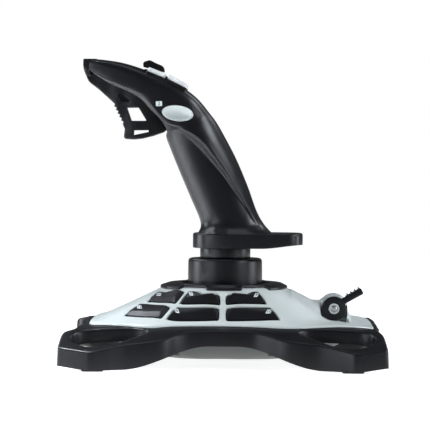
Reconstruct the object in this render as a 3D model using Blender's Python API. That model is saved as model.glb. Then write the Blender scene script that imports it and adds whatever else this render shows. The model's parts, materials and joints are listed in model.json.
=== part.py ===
"""Flight joystick: desk base on four lobes, two-axis gimbal, twisting grip.

Frame: metres, +Z up, +Y forward (away from the player), +X to the player's
right.  The origin lies on the table under the stick axis.  Dimensions below
are in millimetres and are turned into metres when a mesh is made.
"""
import math

import bmesh
import bpy
from mathutils import Matrix, Vector, geometry

MM = 0.001
GAP = 0.3

# ---------------------------------------------------------------- base
ROOF_X = 50.0
ROOF_BEND = 20.0
ROOF_Z = 30.3
ROOF_SLOPE = 0.45
REAR_DIP = 2.6
FRONT_DIP = 1.6
INWARD_RISE = 0.85
FOOT_H = 0.6
UNDER_Z = 0.9
END_RISE = 2.6
WAIST_UNDER_Z = 16.0
OPENING_SCALE = 0.88
PAN_SCALE = 0.855
PAN_FLOOR_Z = 2.2
PAN_RISE = 18.3
WALL = 2.2
# half outlines, x to the right, from the rear centre round to the front
FRAME_HALF = ((0, -112, 0), (32, -111, 0), (60, -108, 0), (73, -112.5, 0), (92.5, -115, 1),
              (98, -92, 1), (92.5, -81, 0), (86.5, -66, 0), (84, -53, 0), (80.5, -41, 0),
              (74, -30, 0), (70, -19, 0), (69, 0, 0), (70, 19, 0), (74, 30.5, 0),
              (81, 40.5, 0), (85, 54, 0), (88, 67, 0), (93, 79, 0), (98, 91, 1),
              (91.5, 115, 1), (71, 112.5, 0), (60, 104.5, 0), (32, 102, 0), (0, 101, 0))
RIM_HALF = ((0, -107), (30, -106.5), (50, -104), (58, -95), (60.5, -75), (64, -48), (61.5, -22),
            (60, 0), (61, 34), (64.5, 51), (61.5, 67), (58, 85), (50, 94), (28, 96), (0, 96.5))
HOLE_INNER_Y = 54.0
HOLE_OUTER_Y = 105.5
HOLE_X = 75.0
HOLE_HALF_W = 12.5
GLAND_Z = 25.4
FOOT_X = 92.2
FOOT_Y = 90.0
FOOT_HALF_W = 2.6
FOOT_STRAIGHT = 5.0

# ---------------------------------------------------------------- dome
RING_R = 42.0
DOME_TOP = 55.5
DOME_DROP = 26.0
DOME_REAR_R = 76.0
RING_BORE = 32.0
RING_TOP = 57.4
# plan angles off the X axis between which the silver reaches in under the ring
TONGUE_FROM = 15.8
TONGUE_TO = 45.5
TONGUE_EDGE = 3.0
COLLAR_R = 27.0
COLLAR_TOP = 75.0
COLLAR_BOTTOM = 54.5
PIVOT_Z = 50.0
NECK_R = 18.2
# base button corners: y across, t down the dome (0 ring, 1 rim)
PADS = {
    "base_button_7": ((3.0, .41), (3.4, .19), (15.3, .20), (18.8, .12), (25.0, .12), (31.0, .41)),
    "base_button_8": ((3.9, .81), (3.6, .54), (33.2, .53), (39.9, .80)),
    "base_button_9": ((-1.8, .40), (-1.7, .20), (-15.7, .19), (-18.4, .12), (-23.9, .12), (-29.7, .40)),
    "base_button_10": ((-2.0, .82), (-1.9, .54), (-32.9, .53), (-39.0, .80)),
    "base_button_11": ((34.5, .41), (28.5, .12), (34.8, .12), (40.5, .18), (46.6, .18), (54.3, .40)),
    "base_button_12": ((44.3, .79), (38.2, .52), (59.6, .49), (69.9, .75)),
}
PAD_PROUD = 1.6
PAD_GAP = 0.7

# ---------------------------------------------------------------- throttle
THROTTLE_Y = -78.7
THROTTLE_Z = 39.5
HUMP_R = 10.3
HUB_R = 8.0
LEVER_R = 24.0
LEVER_ANGLE = 29.0
HOUSING_HALF_W = 9.3

# ---------------------------------------------------------------- grip
GRIP_WALL = 2.2
# stations: rear/top point (y, z), front/lower lip point (y, z), half width, lip opening
GRIP = ((-34.5, 93.4, 20.5, 93.2, 23.0, 0.0), (-27.4, 100.4, 17.9, 97.5, 19.5, 0.0),
        (-22.2, 110.0, 19.0, 104.0, 17.6, 0.0), (-16.0, 127.0, 24.2, 116.0, 16.6, 0.0),
        (-7.6, 146.6, 32.6, 135.5, 16.4, 0.0), (1.6, 164.0, 40.2, 154.0, 16.8, 0.0),
        (7.0, 173.2, 43.2, 162.6, 17.4, 0.0), (11.6, 179.3, 43.0, 167.2, 17.9, 0.62),
        (19.6, 189.0, 46.8, 173.9, 18.6, 0.80), (28.0, 196.0, 53.5, 180.6, 18.8, 0.85),
        (38.0, 201.6, 61.0, 188.8, 18.2, 0.85), (49.0, 206.8, 68.5, 193.5, 17.2, 0.85),
        (61.0, 211.6, 77.0, 197.2, 15.8, 0.85), (74.5, 215.6, 86.4, 201.6, 14.2, 0.85),
        (87.0, 217.6, 94.4, 206.6, 12.6, 0.85), (94.5, 218.2, 98.2, 209.4, 11.4, 0.85),
        (100.6, 218.3, 100.6, 211.2, 10.4, 0.85))
NOSE_Y = 100.9
NOSE_TIP_Y = 103.2
FLANGE_BOTTOM = 82.6
FLANGE_TOP = 92.8
# trigger half width at stations along y
TRIGGER_WIDTHS = ((42.0, 6.0), (58.0, 9.0), (70.0, 9.4), (80.0, 8.3), (90.0, 7.0), (97.0, 6.2))
TRIGGER_PIN_Y = 92.0
TRIGGER_PIN_Z = 208.0
TEETH = 6
THUMB_Y = 34.5
THUMB_Z = 179.3
THUMB_LONG = 11.25
THUMB_SHORT = 5.65
THUMB_TILT = 7.0
HAT_Y = 52.0
HAT_Z = 203.0
HAT_HALF_W = 5.2


def clear_scene():
    for item in list(bpy.data.objects):
        bpy.data.objects.remove(item, do_unlink=True)


def make_material(name, color, roughness, metallic=0.0):
    mat = bpy.data.materials.new(name)
    mat.use_nodes = True
    shader = mat.node_tree.nodes["Principled BSDF"]
    shader.inputs["Base Color"].default_value = (*color, 1.0)
    shader.inputs["Roughness"].default_value = roughness
    shader.inputs["Metallic"].default_value = metallic
    mat.diffuse_color = (*color, 1.0)
    return mat


BLACK = ((0.012, 0.012, 0.014), 0.42, 0.0)
SATIN = ((0.017, 0.017, 0.020), 0.36, 0.0)
SILVER = ((0.56, 0.62, 0.61), 0.36, 0.35)
PALE = ((0.66, 0.72, 0.72), 0.30, 0.15)
PAN = ((0.25, 0.29, 0.30), 0.45, 0.1)
RUBBER = ((0.02, 0.02, 0.02), 0.85, 0.0)
STEEL = ((0.62, 0.62, 0.60), 0.28, 1.0)
BOARD = ((0.02, 0.16, 0.07), 0.5, 0.0)
INNER = ((0.55, 0.56, 0.55), 0.5, 0.0)
SENSOR = ((0.05, 0.07, 0.16), 0.5, 0.0)


def make_object(name, verts, faces, look, origin=(0.0, 0.0, 0.0), smooth=False):
    """Mesh object from millimetre points given in the shared frame."""
    base = Vector(origin)
    mesh = bpy.data.meshes.new(name)
    mesh.from_pydata([(Vector(v) - base) * MM for v in verts], [], faces)
    work = bmesh.new()
    work.from_mesh(mesh)
    bmesh.ops.remove_doubles(work, verts=work.verts, dist=1e-6)
    bmesh.ops.recalc_face_normals(work, faces=work.faces)
    if work.calc_volume(signed=True) < 0:
        bmesh.ops.reverse_faces(work, faces=work.faces)
    work.to_mesh(mesh)
    work.free()
    obj = bpy.data.objects.new(name, mesh)
    obj.location = base * MM
    bpy.context.scene.collection.objects.link(obj)
    mesh.materials.append(make_material(name + "_finish", *look))
    if smooth:
        mesh.shade_smooth()
        mesh.set_sharp_from_angle(angle=math.radians(35))
    return obj


def cut(target, cutter):
    """Subtract one closed object from another."""
    cutter.hide_render = True
    cutter.display_type = "WIRE"
    mod = target.modifiers.new("cut_" + cutter.name, "BOOLEAN")
    mod.operation = "DIFFERENCE"
    mod.solver = "EXACT"
    mod.object = cutter


def soften(obj, width, angle=40.0):
    mod = obj.modifiers.new("edge", "BEVEL")
    mod.width = width * MM
    mod.segments = 1
    mod.limit_method = "ANGLE"
    mod.angle_limit = math.radians(angle)


# ------------------------------------------------------------ curve helpers
def spline_value(values, t):
    """Catmull-Rom value at parameter t (whole numbers hit the stations)."""
    last = len(values) - 1
    i = min(int(t), last - 1)
    f = t - i
    p1 = values[i]
    p2 = values[i + 1]
    p0 = values[i - 1] if i > 0 else 2 * p1 - p2
    p3 = values[i + 2] if i + 2 <= last else 2 * p2 - p1
    a = 2 * p1
    b = p2 - p0
    c = 2 * p0 - 5 * p1 + 4 * p2 - p3
    d = 3 * p1 - p0 - 3 * p2 + p3
    return 0.5 * (a + b * f + c * f * f + d * f * f * f)


def smooth_run(points, steps):
    """Points along a Catmull-Rom run through the given points."""
    xs = [p[0] for p in points]
    ys = [p[1] for p in points]
    count = (len(points) - 1) * steps
    return [(spline_value(xs, i / steps), spline_value(ys, i / steps)) for i in range(count + 1)]


def mirrored_loop(half, steps):
    """Closed loop from a half outline; a third value of 1 marks a hard corner."""
    runs = []
    start = 0
    for i, point in enumerate(half):
        hard = len(point) > 2 and point[2] == 1
        if (hard and i > start) or i == len(half) - 1:
            runs.append(half[start:i + 1])
            start = i
    path = []
    for run in runs:
        piece = smooth_run(run, steps) if len(run) > 2 else [run[0][:2], run[-1][:2]]
        path.extend(piece if not path else piece[1:])
    left = [(-x, y) for x, y in reversed(path[1:-1])]
    return path + left


def smoothstep(value):
    v = min(1.0, max(0.0, value))
    return v * v * (3 - 2 * v)


def inside(point, loop):
    x, y = point
    hit = False
    for i, (x1, y1) in enumerate(loop):
        x2, y2 = loop[i - 1]
        if (y1 > y) != (y2 > y) and x < (x2 - x1) * (y - y1) / (y2 - y1) + x1:
            hit = not hit
    return hit


# ------------------------------------------------------------ solid builders
def plan_solid(loops, fill, top, bottom):
    """Closed body over a plan region: first loop outside, others are holes."""
    pts = []
    edges = []
    for loop in loops:
        first = len(pts)
        pts.extend(loop)
        edges.extend((first + i, first + (i + 1) % len(loop)) for i in range(len(loop)))
    pts.extend(p for p in fill if inside(p, loops[0]) and not any(inside(p, h) for h in loops[1:]))
    result = geometry.delaunay_2d_cdt([Vector(p) for p in pts], edges, [], 1, 1e-5)
    flat = [(v.x, v.y) for v in result[0]]
    tris = []
    for face in result[2]:
        mid = (sum(flat[i][0] for i in face) / 3, sum(flat[i][1] for i in face) / 3)
        if inside(mid, loops[0]) and not any(inside(mid, h) for h in loops[1:]):
            tris.append(tuple(face))
    count = len(flat)
    verts = [top(x, y) for x, y in flat] + [bottom(x, y) for x, y in flat]
    sides = {}
    for face in tris:
        for i in range(3):
            a = face[i]
            b = face[(i + 1) % 3]
            if (b, a) in sides:
                del sides[(b, a)]
            else:
                sides[(a, b)] = True
    faces = list(tris)
    faces += [tuple(i + count for i in reversed(face)) for face in tris]
    faces += [(b, a, a + count, b + count) for a, b in sides]
    return verts, faces


def lathe(profile, segments, centre=(0.0, 0.0)):
    """Closed ring of revolution about a vertical axis from a closed profile."""
    verts = []
    n = len(profile)
    for s in range(segments):
        ang = 2 * math.pi * s / segments
        for r, z in profile:
            verts.append((centre[0] + r * math.cos(ang), centre[1] + r * math.sin(ang), z))
    faces = []
    for s in range(segments):
        nxt = (s + 1) % segments
        for i in range(n):
            j = (i + 1) % n
            faces.append((s * n + i, nxt * n + i, nxt * n + j, s * n + j))
    return verts, faces


def loft(rings):
    """Closed body through rings of equal length, capped at both ends."""
    n = len(rings[0])
    verts = [p for ring in rings for p in ring]
    faces = []
    for k in range(len(rings) - 1):
        for i in range(n):
            j = (i + 1) % n
            faces.append((k * n + i, k * n + j, (k + 1) * n + j, (k + 1) * n + i))
    faces.append(tuple(reversed(range(n))))
    faces.append(tuple((len(rings) - 1) * n + i for i in range(n)))
    return verts, faces


def cylinder(centre, radius, length, axis="Z", segments=24):
    rings = []
    for end in (-0.5, 0.5):
        ring = []
        for s in range(segments):
            a = 2 * math.pi * s / segments
            u = radius * math.cos(a)
            v = radius * math.sin(a)
            p = {"Z": (u, v, end * length), "X": (end * length, u, v), "Y": (u, end * length, v)}
            ring.append(tuple(c + d for c, d in zip(centre, p[axis])))
        rings.append(ring)
    return loft(rings)


def block(low, high):
    ring = [(low[0], low[1]), (high[0], low[1]), (high[0], high[1]), (low[0], high[1])]
    return loft([[(x, y, low[2]) for x, y in ring], [(x, y, high[2]) for x, y in ring]])


def side_prism(outline, x_low, x_high):
    """Extrude a (y, z) outline along X."""
    return loft([[(x_low, y, z) for y, z in outline], [(x_high, y, z) for y, z in outline]])


def placed(shape, matrix):
    return [tuple(matrix @ Vector(v)) for v in shape[0]], shape[1]


# ------------------------------------------------------------ base surfaces
RIM_LOOP = mirrored_loop(RIM_HALF, 4)


def polar_table(loop, count=720):
    """Distance from the axis to a star-shaped loop for evenly spaced angles."""
    table = []
    for k in range(count):
        ang = 2 * math.pi * k / count - math.pi
        dx = math.cos(ang)
        dy = math.sin(ang)
        best = 0.0
        for i, (x1, y1) in enumerate(loop):
            x2, y2 = loop[i - 1]
            den = dx * (y2 - y1) - dy * (x2 - x1)
            if abs(den) > 1e-9:
                r = (x1 * (y2 - y1) - y1 * (x2 - x1)) / den
                s = (x1 * dy - y1 * dx) / den
                if r > 0 and -1e-6 <= s <= 1 + 1e-6:
                    best = max(best, r)
        table.append(best)
    return table


RIM_TABLE = polar_table(RIM_LOOP)


def rim_radius(angle):
    pos = (angle + math.pi) / (2 * math.pi) * len(RIM_TABLE)
    i = int(pos) % len(RIM_TABLE)
    f = pos - int(pos)
    return RIM_TABLE[i] * (1 - f) + RIM_TABLE[(i + 1) % len(RIM_TABLE)] * f


def roof(x, y):
    """Upper surface of the black frame."""
    past = max(0.0, abs(x) - ROOF_X)
    level = ROOF_Z - REAR_DIP * smoothstep((-y - 60) / 45) * max(0.0, 1 - abs(x) / 60)
    level -= FRONT_DIP * smoothstep((y - 80) / 22) * (1 - smoothstep((abs(x) - 55) / 20))
    if past < ROOF_BEND:
        return level - ROOF_SLOPE * past * past / (2 * ROOF_BEND)
    return level - ROOF_SLOPE * (past - ROOF_BEND / 2)


def underside(x, y):
    """Lower surface of the black frame: arched over the waist."""
    arch = UNDER_Z + (WAIST_UNDER_Z - UNDER_Z) * smoothstep((70 - abs(y)) / 60)
    inward = UNDER_Z + INWARD_RISE * max(0.0, 86 - abs(x))
    rise = END_RISE * smoothstep((abs(y) - 93) / 22)
    return min(max(arch, inward) + rise, roof(x, y) - 9.5)


def dome_reach(angle):
    """Distance at which the dome slope meets the flat rim."""
    rear = max(0.0, -math.sin(angle)) ** 3
    reach = rim_radius(angle) - 1.0
    return reach * (1 - rear) + min(reach, DOME_REAR_R) * rear


def dome(x, y):
    """Upper surface of the silver shell."""
    r = math.hypot(x, y)
    ang = math.atan2(y, x)
    t = (r - RING_R) / (dome_reach(ang) - RING_R)
    z = DOME_TOP - DOME_DROP * max(t, 0.0)
    edge = roof(x, y) + 1.4
    blend = z - edge
    if blend > 3:
        return z
    if blend < -3:
        return edge
    return edge + (blend + 3) ** 2 / 12


def dome_normal(x, y):
    e = 0.4
    gx = (dome(x + e, y) - dome(x - e, y)) / (2 * e)
    gy = (dome(x, y + e) - dome(x, y - e)) / (2 * e)
    return Vector((-gx, -gy, 1.0)).normalized()


def deck_xy(y, t):
    """Plan point on the player's left at width y and dome parameter t."""
    low = math.pi / 2 + 0.02
    high = 3 * math.pi / 2 - 0.02
    for _ in range(40):
        mid = (low + high) / 2
        ang = math.atan2(math.sin(mid), math.cos(mid))
        r = RING_R + t * (dome_reach(ang) - RING_R)
        if r * math.sin(mid) > y:
            low = mid
        else:
            high = mid
    return r * math.cos(mid), y


def teardrop(sign_x, sign_y):
    """Grip hole through a lobe: wide outer end, pointed inner end."""
    pts = []
    count = 28
    for k in range(count):
        a = 2 * math.pi * k / count
        f = 0.5 - 0.5 * math.cos(a)
        y = HOLE_INNER_Y + (HOLE_OUTER_Y - HOLE_INNER_Y) * (1 - f)
        wide = HOLE_HALF_W * math.sin(a) * (0.45 + 0.75 * (1 - f) ** 0.8)
        centre = HOLE_X - 6.5 + 8.5 * smoothstep(1.5 * (1 - f))
        pts.append((sign_x * (centre + wide), sign_y * y))
    return pts


def ring_points(scale, steps, offset=0.0):
    pts = []
    for k in range(steps):
        a = 2 * math.pi * k / steps - math.pi
        r = rim_radius(a) * scale + offset
        pts.append((r * math.cos(a), r * math.sin(a)))
    return pts


# ------------------------------------------------------------ base pieces
def build_base_frame():
    outer = mirrored_loop(FRAME_HALF, 3)
    holes = [ring_points(OPENING_SCALE, 60)]
    holes += [teardrop(sx, sy) for sx in (-1, 1) for sy in (-1, 1)]
    fill = [(sx * x, y) for sx in (-1, 1) for x in (54, 60, 66) for y in range(-102, 103, 9)]
    shape = plan_solid([outer] + holes, fill, lambda x, y: (x, y, roof(x, y)),
                       lambda x, y: (x, y, underside(x, y)))
    frame = make_object("base_frame", *shape, BLACK)
    hole = cylinder((0, 93, GLAND_Z), 3.3, 30, "Y", 20)
    cut(frame, make_object("gland_cutter", *hole, BLACK))


def pad_outline(name, grow):
    """Plan outline of a base button, grown outwards by a distance."""
    corners = [deck_xy(y, t) for y, t in PADS[name]]
    mid_x = sum(p[0] for p in corners) / len(corners)
    mid_y = sum(p[1] for p in corners) / len(corners)
    area = sum(corners[i - 1][0] * corners[i][1] - corners[i][0] * corners[i - 1][1]
               for i in range(len(corners)))
    turn = 1 if area > 0 else -1
    lines = []
    for i, (x2, y2) in enumerate(corners):
        x1, y1 = corners[i - 1]
        size = math.hypot(x2 - x1, y2 - y1)
        nx = turn * (y2 - y1) / size
        ny = -turn * (x2 - x1) / size
        lines.append((nx, ny, nx * x1 + ny * y1 + grow))
    moved = []
    for i in range(len(lines)):
        a1, b1, c1 = lines[i]
        a2, b2, c2 = lines[(i + 1) % len(lines)]
        det = a1 * b2 - a2 * b1
        moved.append(((c1 * b2 - c2 * b1) / det, (a1 * c2 - a2 * c1) / det))
    path = []
    for i, (x2, y2) in enumerate(moved):
        x1, y1 = moved[i - 1]
        pieces = max(1, round(math.hypot(x2 - x1, y2 - y1) / 9))
        path.extend((x1 + (x2 - x1) * k / pieces, y1 + (y2 - y1) * k / pieces)
                    for k in range(1, pieces + 1))
    return path, (mid_x, mid_y)


def build_top_shell():
    outer = ring_points(1.0, 96)
    bore = [(38 * math.cos(2 * math.pi * k / 48), 38 * math.sin(2 * math.pi * k / 48))
            for k in range(48)]
    holes = []
    walls = {}
    for name in PADS:
        path, (mid_x, mid_y) = pad_outline(name, PAD_GAP)
        holes.append(path)
        for x, y in path:
            walls[(round(x, 2), round(y, 2))] = dome_normal(mid_x, mid_y)
    fill = []
    for t in (0.0, 0.25, 0.5, 0.75, 0.93, 1.08):
        for k in range(40):
            a = 2 * math.pi * k / 40 - math.pi
            r = RING_R + t * (dome_reach(a) - RING_R)
            if r < 0.80 * rim_radius(a):
                fill.append((r * math.cos(a), r * math.sin(a)))
    fill += ring_points(0.82, 60) + ring_points(0.855, 60) + ring_points(0.93, 60)

    def low(x, y):
        near_rim = math.hypot(x, y) > 0.84 * rim_radius(math.atan2(y, x))
        key = (round(x, 2), round(y, 2))
        if near_rim and key not in walls:
            return (x, y, max(roof(x, y) + 0.85, dome(x, y) - WALL - 1.0))
        point = Vector((x, y, dome(x, y))) - walls.get(key, dome_normal(x, y)) * WALL
        if near_rim:
            point.z = max(point.z, roof(point.x, point.y) + 0.85)
        return tuple(point)

    shape = plan_solid([outer, bore] + holes, fill, lambda x, y: (x, y, dome(x, y)), low)
    make_object("top_shell", *shape, SILVER, smooth=True)


def build_base_buttons():
    for name in PADS:
        path, (mid_x, mid_y) = pad_outline(name, 0.0)
        axis = dome_normal(mid_x, mid_y)
        up = [tuple(Vector((x, y, dome(x, y))) + axis * PAD_PROUD) for x, y in path]
        down = [tuple(Vector((x, y, dome(x, y))) - axis * 4.0) for x, y in path]
        origin = Vector((mid_x, mid_y, dome(mid_x, mid_y)))
        n = len(path)
        verts = up + down
        faces = [tuple(range(n)), tuple(n + i for i in reversed(range(n)))]
        faces += [(i, n + i, n + (i + 1) % n, (i + 1) % n) for i in range(n)]
        obj = make_object(name, verts, faces, SATIN, origin)
        work = bmesh.new()
        work.from_mesh(obj.data)
        bmesh.ops.triangulate(work, faces=[f for f in work.faces if len(f.verts) > 4])
        work.to_mesh(obj.data)
        work.free()


def build_pan():
    rows = 6
    count = 40
    verts = []
    for side in (0, 1):
        for k in range(rows):
            t = (k + 1) / rows
            for a in [2 * math.pi * i / count - math.pi for i in range(count)]:
                r = rim_radius(a) * PAN_SCALE * t
                z = PAN_FLOOR_Z + PAN_RISE * t ** 3 + side * WALL
                verts.append((r * math.cos(a), r * math.sin(a), z))
    layer = rows * count
    verts.append((0, 0, PAN_FLOOR_Z))
    verts.append((0, 0, PAN_FLOOR_Z + WALL))
    faces = []
    for side in (0, 1):
        base = side * layer
        for k in range(rows - 1):
            for i in range(count):
                j = (i + 1) % count
                faces.append((base + k * count + i, base + k * count + j,
                              base + (k + 1) * count + j, base + (k + 1) * count + i))
        for i in range(count):
            faces.append((2 * layer + side, base + i, base + (i + 1) % count))
    edge = (rows - 1) * count
    for i in range(count):
        j = (i + 1) % count
        faces.append((edge + i, edge + j, layer + edge + j, layer + edge + i))
    pan = make_object("bottom_pan", verts, faces, PAN, smooth=True)
    spots = [(sx * 36, sy * 34) for sx in (-1, 1) for sy in (-1, 1)]
    for k, (x, y) in enumerate(spots):
        well = cylinder((x, y, 8), 2.9, 20, "Z", 16)
        cut(pan, make_object(f"pan_well_{k + 1}_cutter", *well, PAN))
        make_object(f"base_screw_{k + 1}", *cylinder((x, y, 15.4), 2.5, 14.0, "Z", 14), STEEL)


def build_feet():
    for side_name, sx in (("left", -1), ("right", 1)):
        for end_name, sy in (("front", 1), ("rear", -1)):
            ring = []
            for k in range(16):
                a = 2 * math.pi * k / 16
                shift = FOOT_STRAIGHT if math.sin(a) > 0 else -FOOT_STRAIGHT
                ring.append((sx * FOOT_X + FOOT_HALF_W * math.cos(a),
                             sy * FOOT_Y + FOOT_HALF_W * math.sin(a) + shift))
            shape = loft([[(x, y, 0.0) for x, y in ring], [(x, y, FOOT_H) for x, y in ring]])
            make_object(f"foot_{end_name}_{side_name}", *shape, RUBBER)


def ring_reach(angle):
    """Dome parameter of the ring's outer edge: short where a silver tongue runs in."""
    off_axis = math.degrees(math.asin(min(1.0, abs(math.sin(angle)))))
    tongue = smoothstep((off_axis - TONGUE_FROM) / TONGUE_EDGE)
    tongue *= 1 - smoothstep((off_axis - TONGUE_TO + TONGUE_EDGE) / TONGUE_EDGE)
    return 0.09 - 0.078 * tongue


def build_ring():
    count = 120
    verts = []
    for k in range(count):
        a = 2 * math.pi * k / count - math.pi
        t = ring_reach(a)
        r_out = RING_R + t * (dome_reach(a) - RING_R)
        cx = math.cos(a)
        cy = math.sin(a)
        z_out = dome(r_out * cx, r_out * cy)
        rows = ((RING_BORE, 54.0), (RING_BORE, RING_TOP - 0.6), (RING_BORE + 0.8, RING_TOP),
                (40.6, RING_TOP), (r_out, z_out + 1.9), (r_out, z_out + 0.5),
                (41.9, DOME_TOP + 0.4), (37.2, DOME_TOP + 0.4), (37.2, 54.0))
        verts.extend((r * cx, r * cy, z) for r, z in rows)
    n = 9
    faces = []
    for k in range(count):
        nxt = (k + 1) % count
        for i in range(n):
            j = (i + 1) % n
            faces.append((k * n + i, nxt * n + i, nxt * n + j, k * n + j))
    make_object("ring_bezel", verts, faces, BLACK, smooth=True)


def build_housing():
    """Silver spine carrying the throttle pivot behind the stick."""
    half = HOUSING_HALF_W

    def crest(y):
        d = y - THROTTLE_Y
        line = 53.6 - 0.505 * (-46.0 - y) if y > -63 else 45.0
        if y < -88.5:
            line = 35.4 - 0.34 * (-88.5 - y)
        if abs(d) < HUMP_R:
            return max(line if y > -88.5 else 0, THROTTLE_Z + math.sqrt(HUMP_R ** 2 - d * d))
        return line

    ys = [-49 - 2.75 * k for k in range(20)]
    loop = [(-half, y) for y in ys] + [(half, y) for y in reversed(ys)]
    fill = [(x, y) for x in (-half + 2, half - 2) for y in ys[1:-1]]

    def top(x, y):
        drop = 0.9 if abs(x) > half - 0.5 else 0.0
        return (x, y, max(crest(y) - drop, dome(x, y) + 2.0))

    shape = plan_solid([loop], fill, top, lambda x, y: (x, y, dome(x, y) + 0.8))
    housing = make_object("throttle_housing", *shape, SILVER, smooth=True)
    hole = cylinder((-half + 4.5, THROTTLE_Y, THROTTLE_Z), 5.2, 12.0, "X", 20)
    cut(housing, make_object("throttle_bore_cutter", *hole, INNER))


def tube_x(x0, x1, y, z, r_out, r_in, segments=20):
    shape = lathe([(r_in, x0), (r_out, x0), (r_out, x1), (r_in, x1)], segments)
    return [(v[2], y + v[0], z + v[1]) for v in shape[0]], shape[1]


def build_throttle():
    make_object("throttle_sensor", *tube_x(-8.9, 1.0, THROTTLE_Y, THROTTLE_Z, 4.8, 2.4), SENSOR)
    x0 = -15.6
    x1 = -HOUSING_HALF_W - 0.6
    ang = math.radians(LEVER_ANGLE)
    along = Vector((-math.cos(ang), math.sin(ang)))
    across = Vector((math.sin(ang), math.cos(ang)))
    centre = Vector((THROTTLE_Y, THROTTLE_Z))
    disc = []
    arm_half = 2.15
    lift = 1.5
    start = math.asin((arm_half - lift) / HUB_R)
    stop = math.asin((arm_half + lift) / HUB_R)
    sweep = 2 * math.pi - start - stop
    for k in range(29):
        a = stop + sweep * k / 28
        disc.append(centre + along * (HUB_R * math.cos(a)) + across * (HUB_R * math.sin(a)))
    tip = [centre + along * LEVER_R + across * (lift - arm_half),
           centre + along * LEVER_R + across * (lift + arm_half)]
    near = side_prism([tuple(p) for p in disc + tip], x0, x1)
    origin = (0.5 * (x0 + x1), THROTTLE_Y, THROTTLE_Z)
    lever = make_object("throttle_lever", *near, SATIN, origin)
    paddle_in = HUMP_R + 1.0
    low = lift - arm_half + 0.25
    high = lift + arm_half - 0.25
    end = LEVER_R - 0.3
    corners = [centre + along * paddle_in + across * low, centre + along * end + across * low,
               centre + along * end + across * high, centre + along * paddle_in + across * high]
    paddle = make_object("paddle_add", *side_prism([tuple(p) for p in corners], x1 - 1.5, 11.0),
                         SATIN)
    stub = make_object("stub_add", *cylinder((x1 + 1.2, THROTTLE_Y, THROTTLE_Z), 2.0, 5.0, "X", 16),
                       SATIN)
    for extra in (paddle, stub):
        extra.hide_render = True
        extra.display_type = "WIRE"
        mod = lever.modifiers.new("join_" + extra.name, "BOOLEAN")
        mod.operation = "UNION"
        mod.solver = "EXACT"
        mod.object = extra
    seat = cylinder((x0 - 1.5, THROTTLE_Y, THROTTLE_Z), 4.3, 5.0, "X", 20)
    cut(lever, make_object("screw_seat_cutter", *seat, SATIN))
    head = [(0.8, x0 - 0.2), (3.4, x0 - 0.2), (3.8, x0 + 0.3), (3.8, x0 + 0.7), (0.8, x0 + 0.7)]
    shape = lathe(head, 20)
    verts = [(v[2], THROTTLE_Y + v[0], THROTTLE_Z + v[1]) for v in shape[0]]
    make_object("throttle_screw", verts, shape[1], STEEL, origin, smooth=True)


def build_base_inside():
    """Gimbal cradle, circuit boards, weight and cable gland."""
    cradle = make_object("gimbal_cradle", *block((-28, -23, 8.0), (28, 23, 14.6)), INNER)
    for sx in (-1, 1):
        low = (min(sx * 17.4, sx * 20.2), -6, 12)
        high = (max(sx * 17.4, sx * 20.2), 6, 55)
        post = make_object(f"cradle_post_{sx + 1}", *block(low, high), INNER)
        post.hide_render = True
        post.display_type = "WIRE"
        mod = cradle.modifiers.new("post", "BOOLEAN")
        mod.operation = "UNION"
        mod.solver = "EXACT"
        mod.object = post
    bore = cylinder((0, 0, PIVOT_Z), 2.9, 60, "X", 20)
    cut(cradle, make_object("pitch_bore_cutter", *bore, INNER))
    make_object("ballast_plate", *block((-22, 29, 11.5), (22, 52, 16.0)), STEEL)
    make_object("main_board", *block((-30, -62, 13.5), (30, -30, 15.1)), BOARD)
    ring = tube_x(20.5, 22.9, 0.0, PIVOT_Z, 3.9, 2.9)
    make_object("pitch_sensor", *ring, SENSOR)
    gland = [(1.9, 86.0), (3.0, 86.0), (3.0, 101.6), (4.6, 101.6), (4.6, 103.2), (1.9, 103.2)]
    shape = lathe(gland, 20)
    verts = [(v[0], v[2], GLAND_Z + v[1]) for v in shape[0]]
    make_object("cable_gland", verts, shape[1], RUBBER, smooth=True)
    for name, y, half_len, depth, thick, look in (
            ("keypad_board", -1.0, 30.0, 13.5, 1.6, BOARD),
            ("keypad_dome_mat", -1.0, 29.0, 11.6, 1.2, RUBBER),
            ("front_keypad_board", 51.0, 9.5, 11.5, 1.6, BOARD)):
        x, y = deck_xy(y, 0.46)
        normal = dome_normal(x, y)
        centre = Vector((x, y, dome(x, y))) - normal * depth
        side = Vector((-normal.y, normal.x, 0)).normalized()
        down = normal.cross(side)
        frame = Matrix((side, down, normal)).transposed().to_4x4()
        frame.translation = centre
        plate = block((-half_len, -12.0, -thick / 2), (half_len, 12.0, thick / 2))
        make_object(name, *placed(plate, frame), look)


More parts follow.
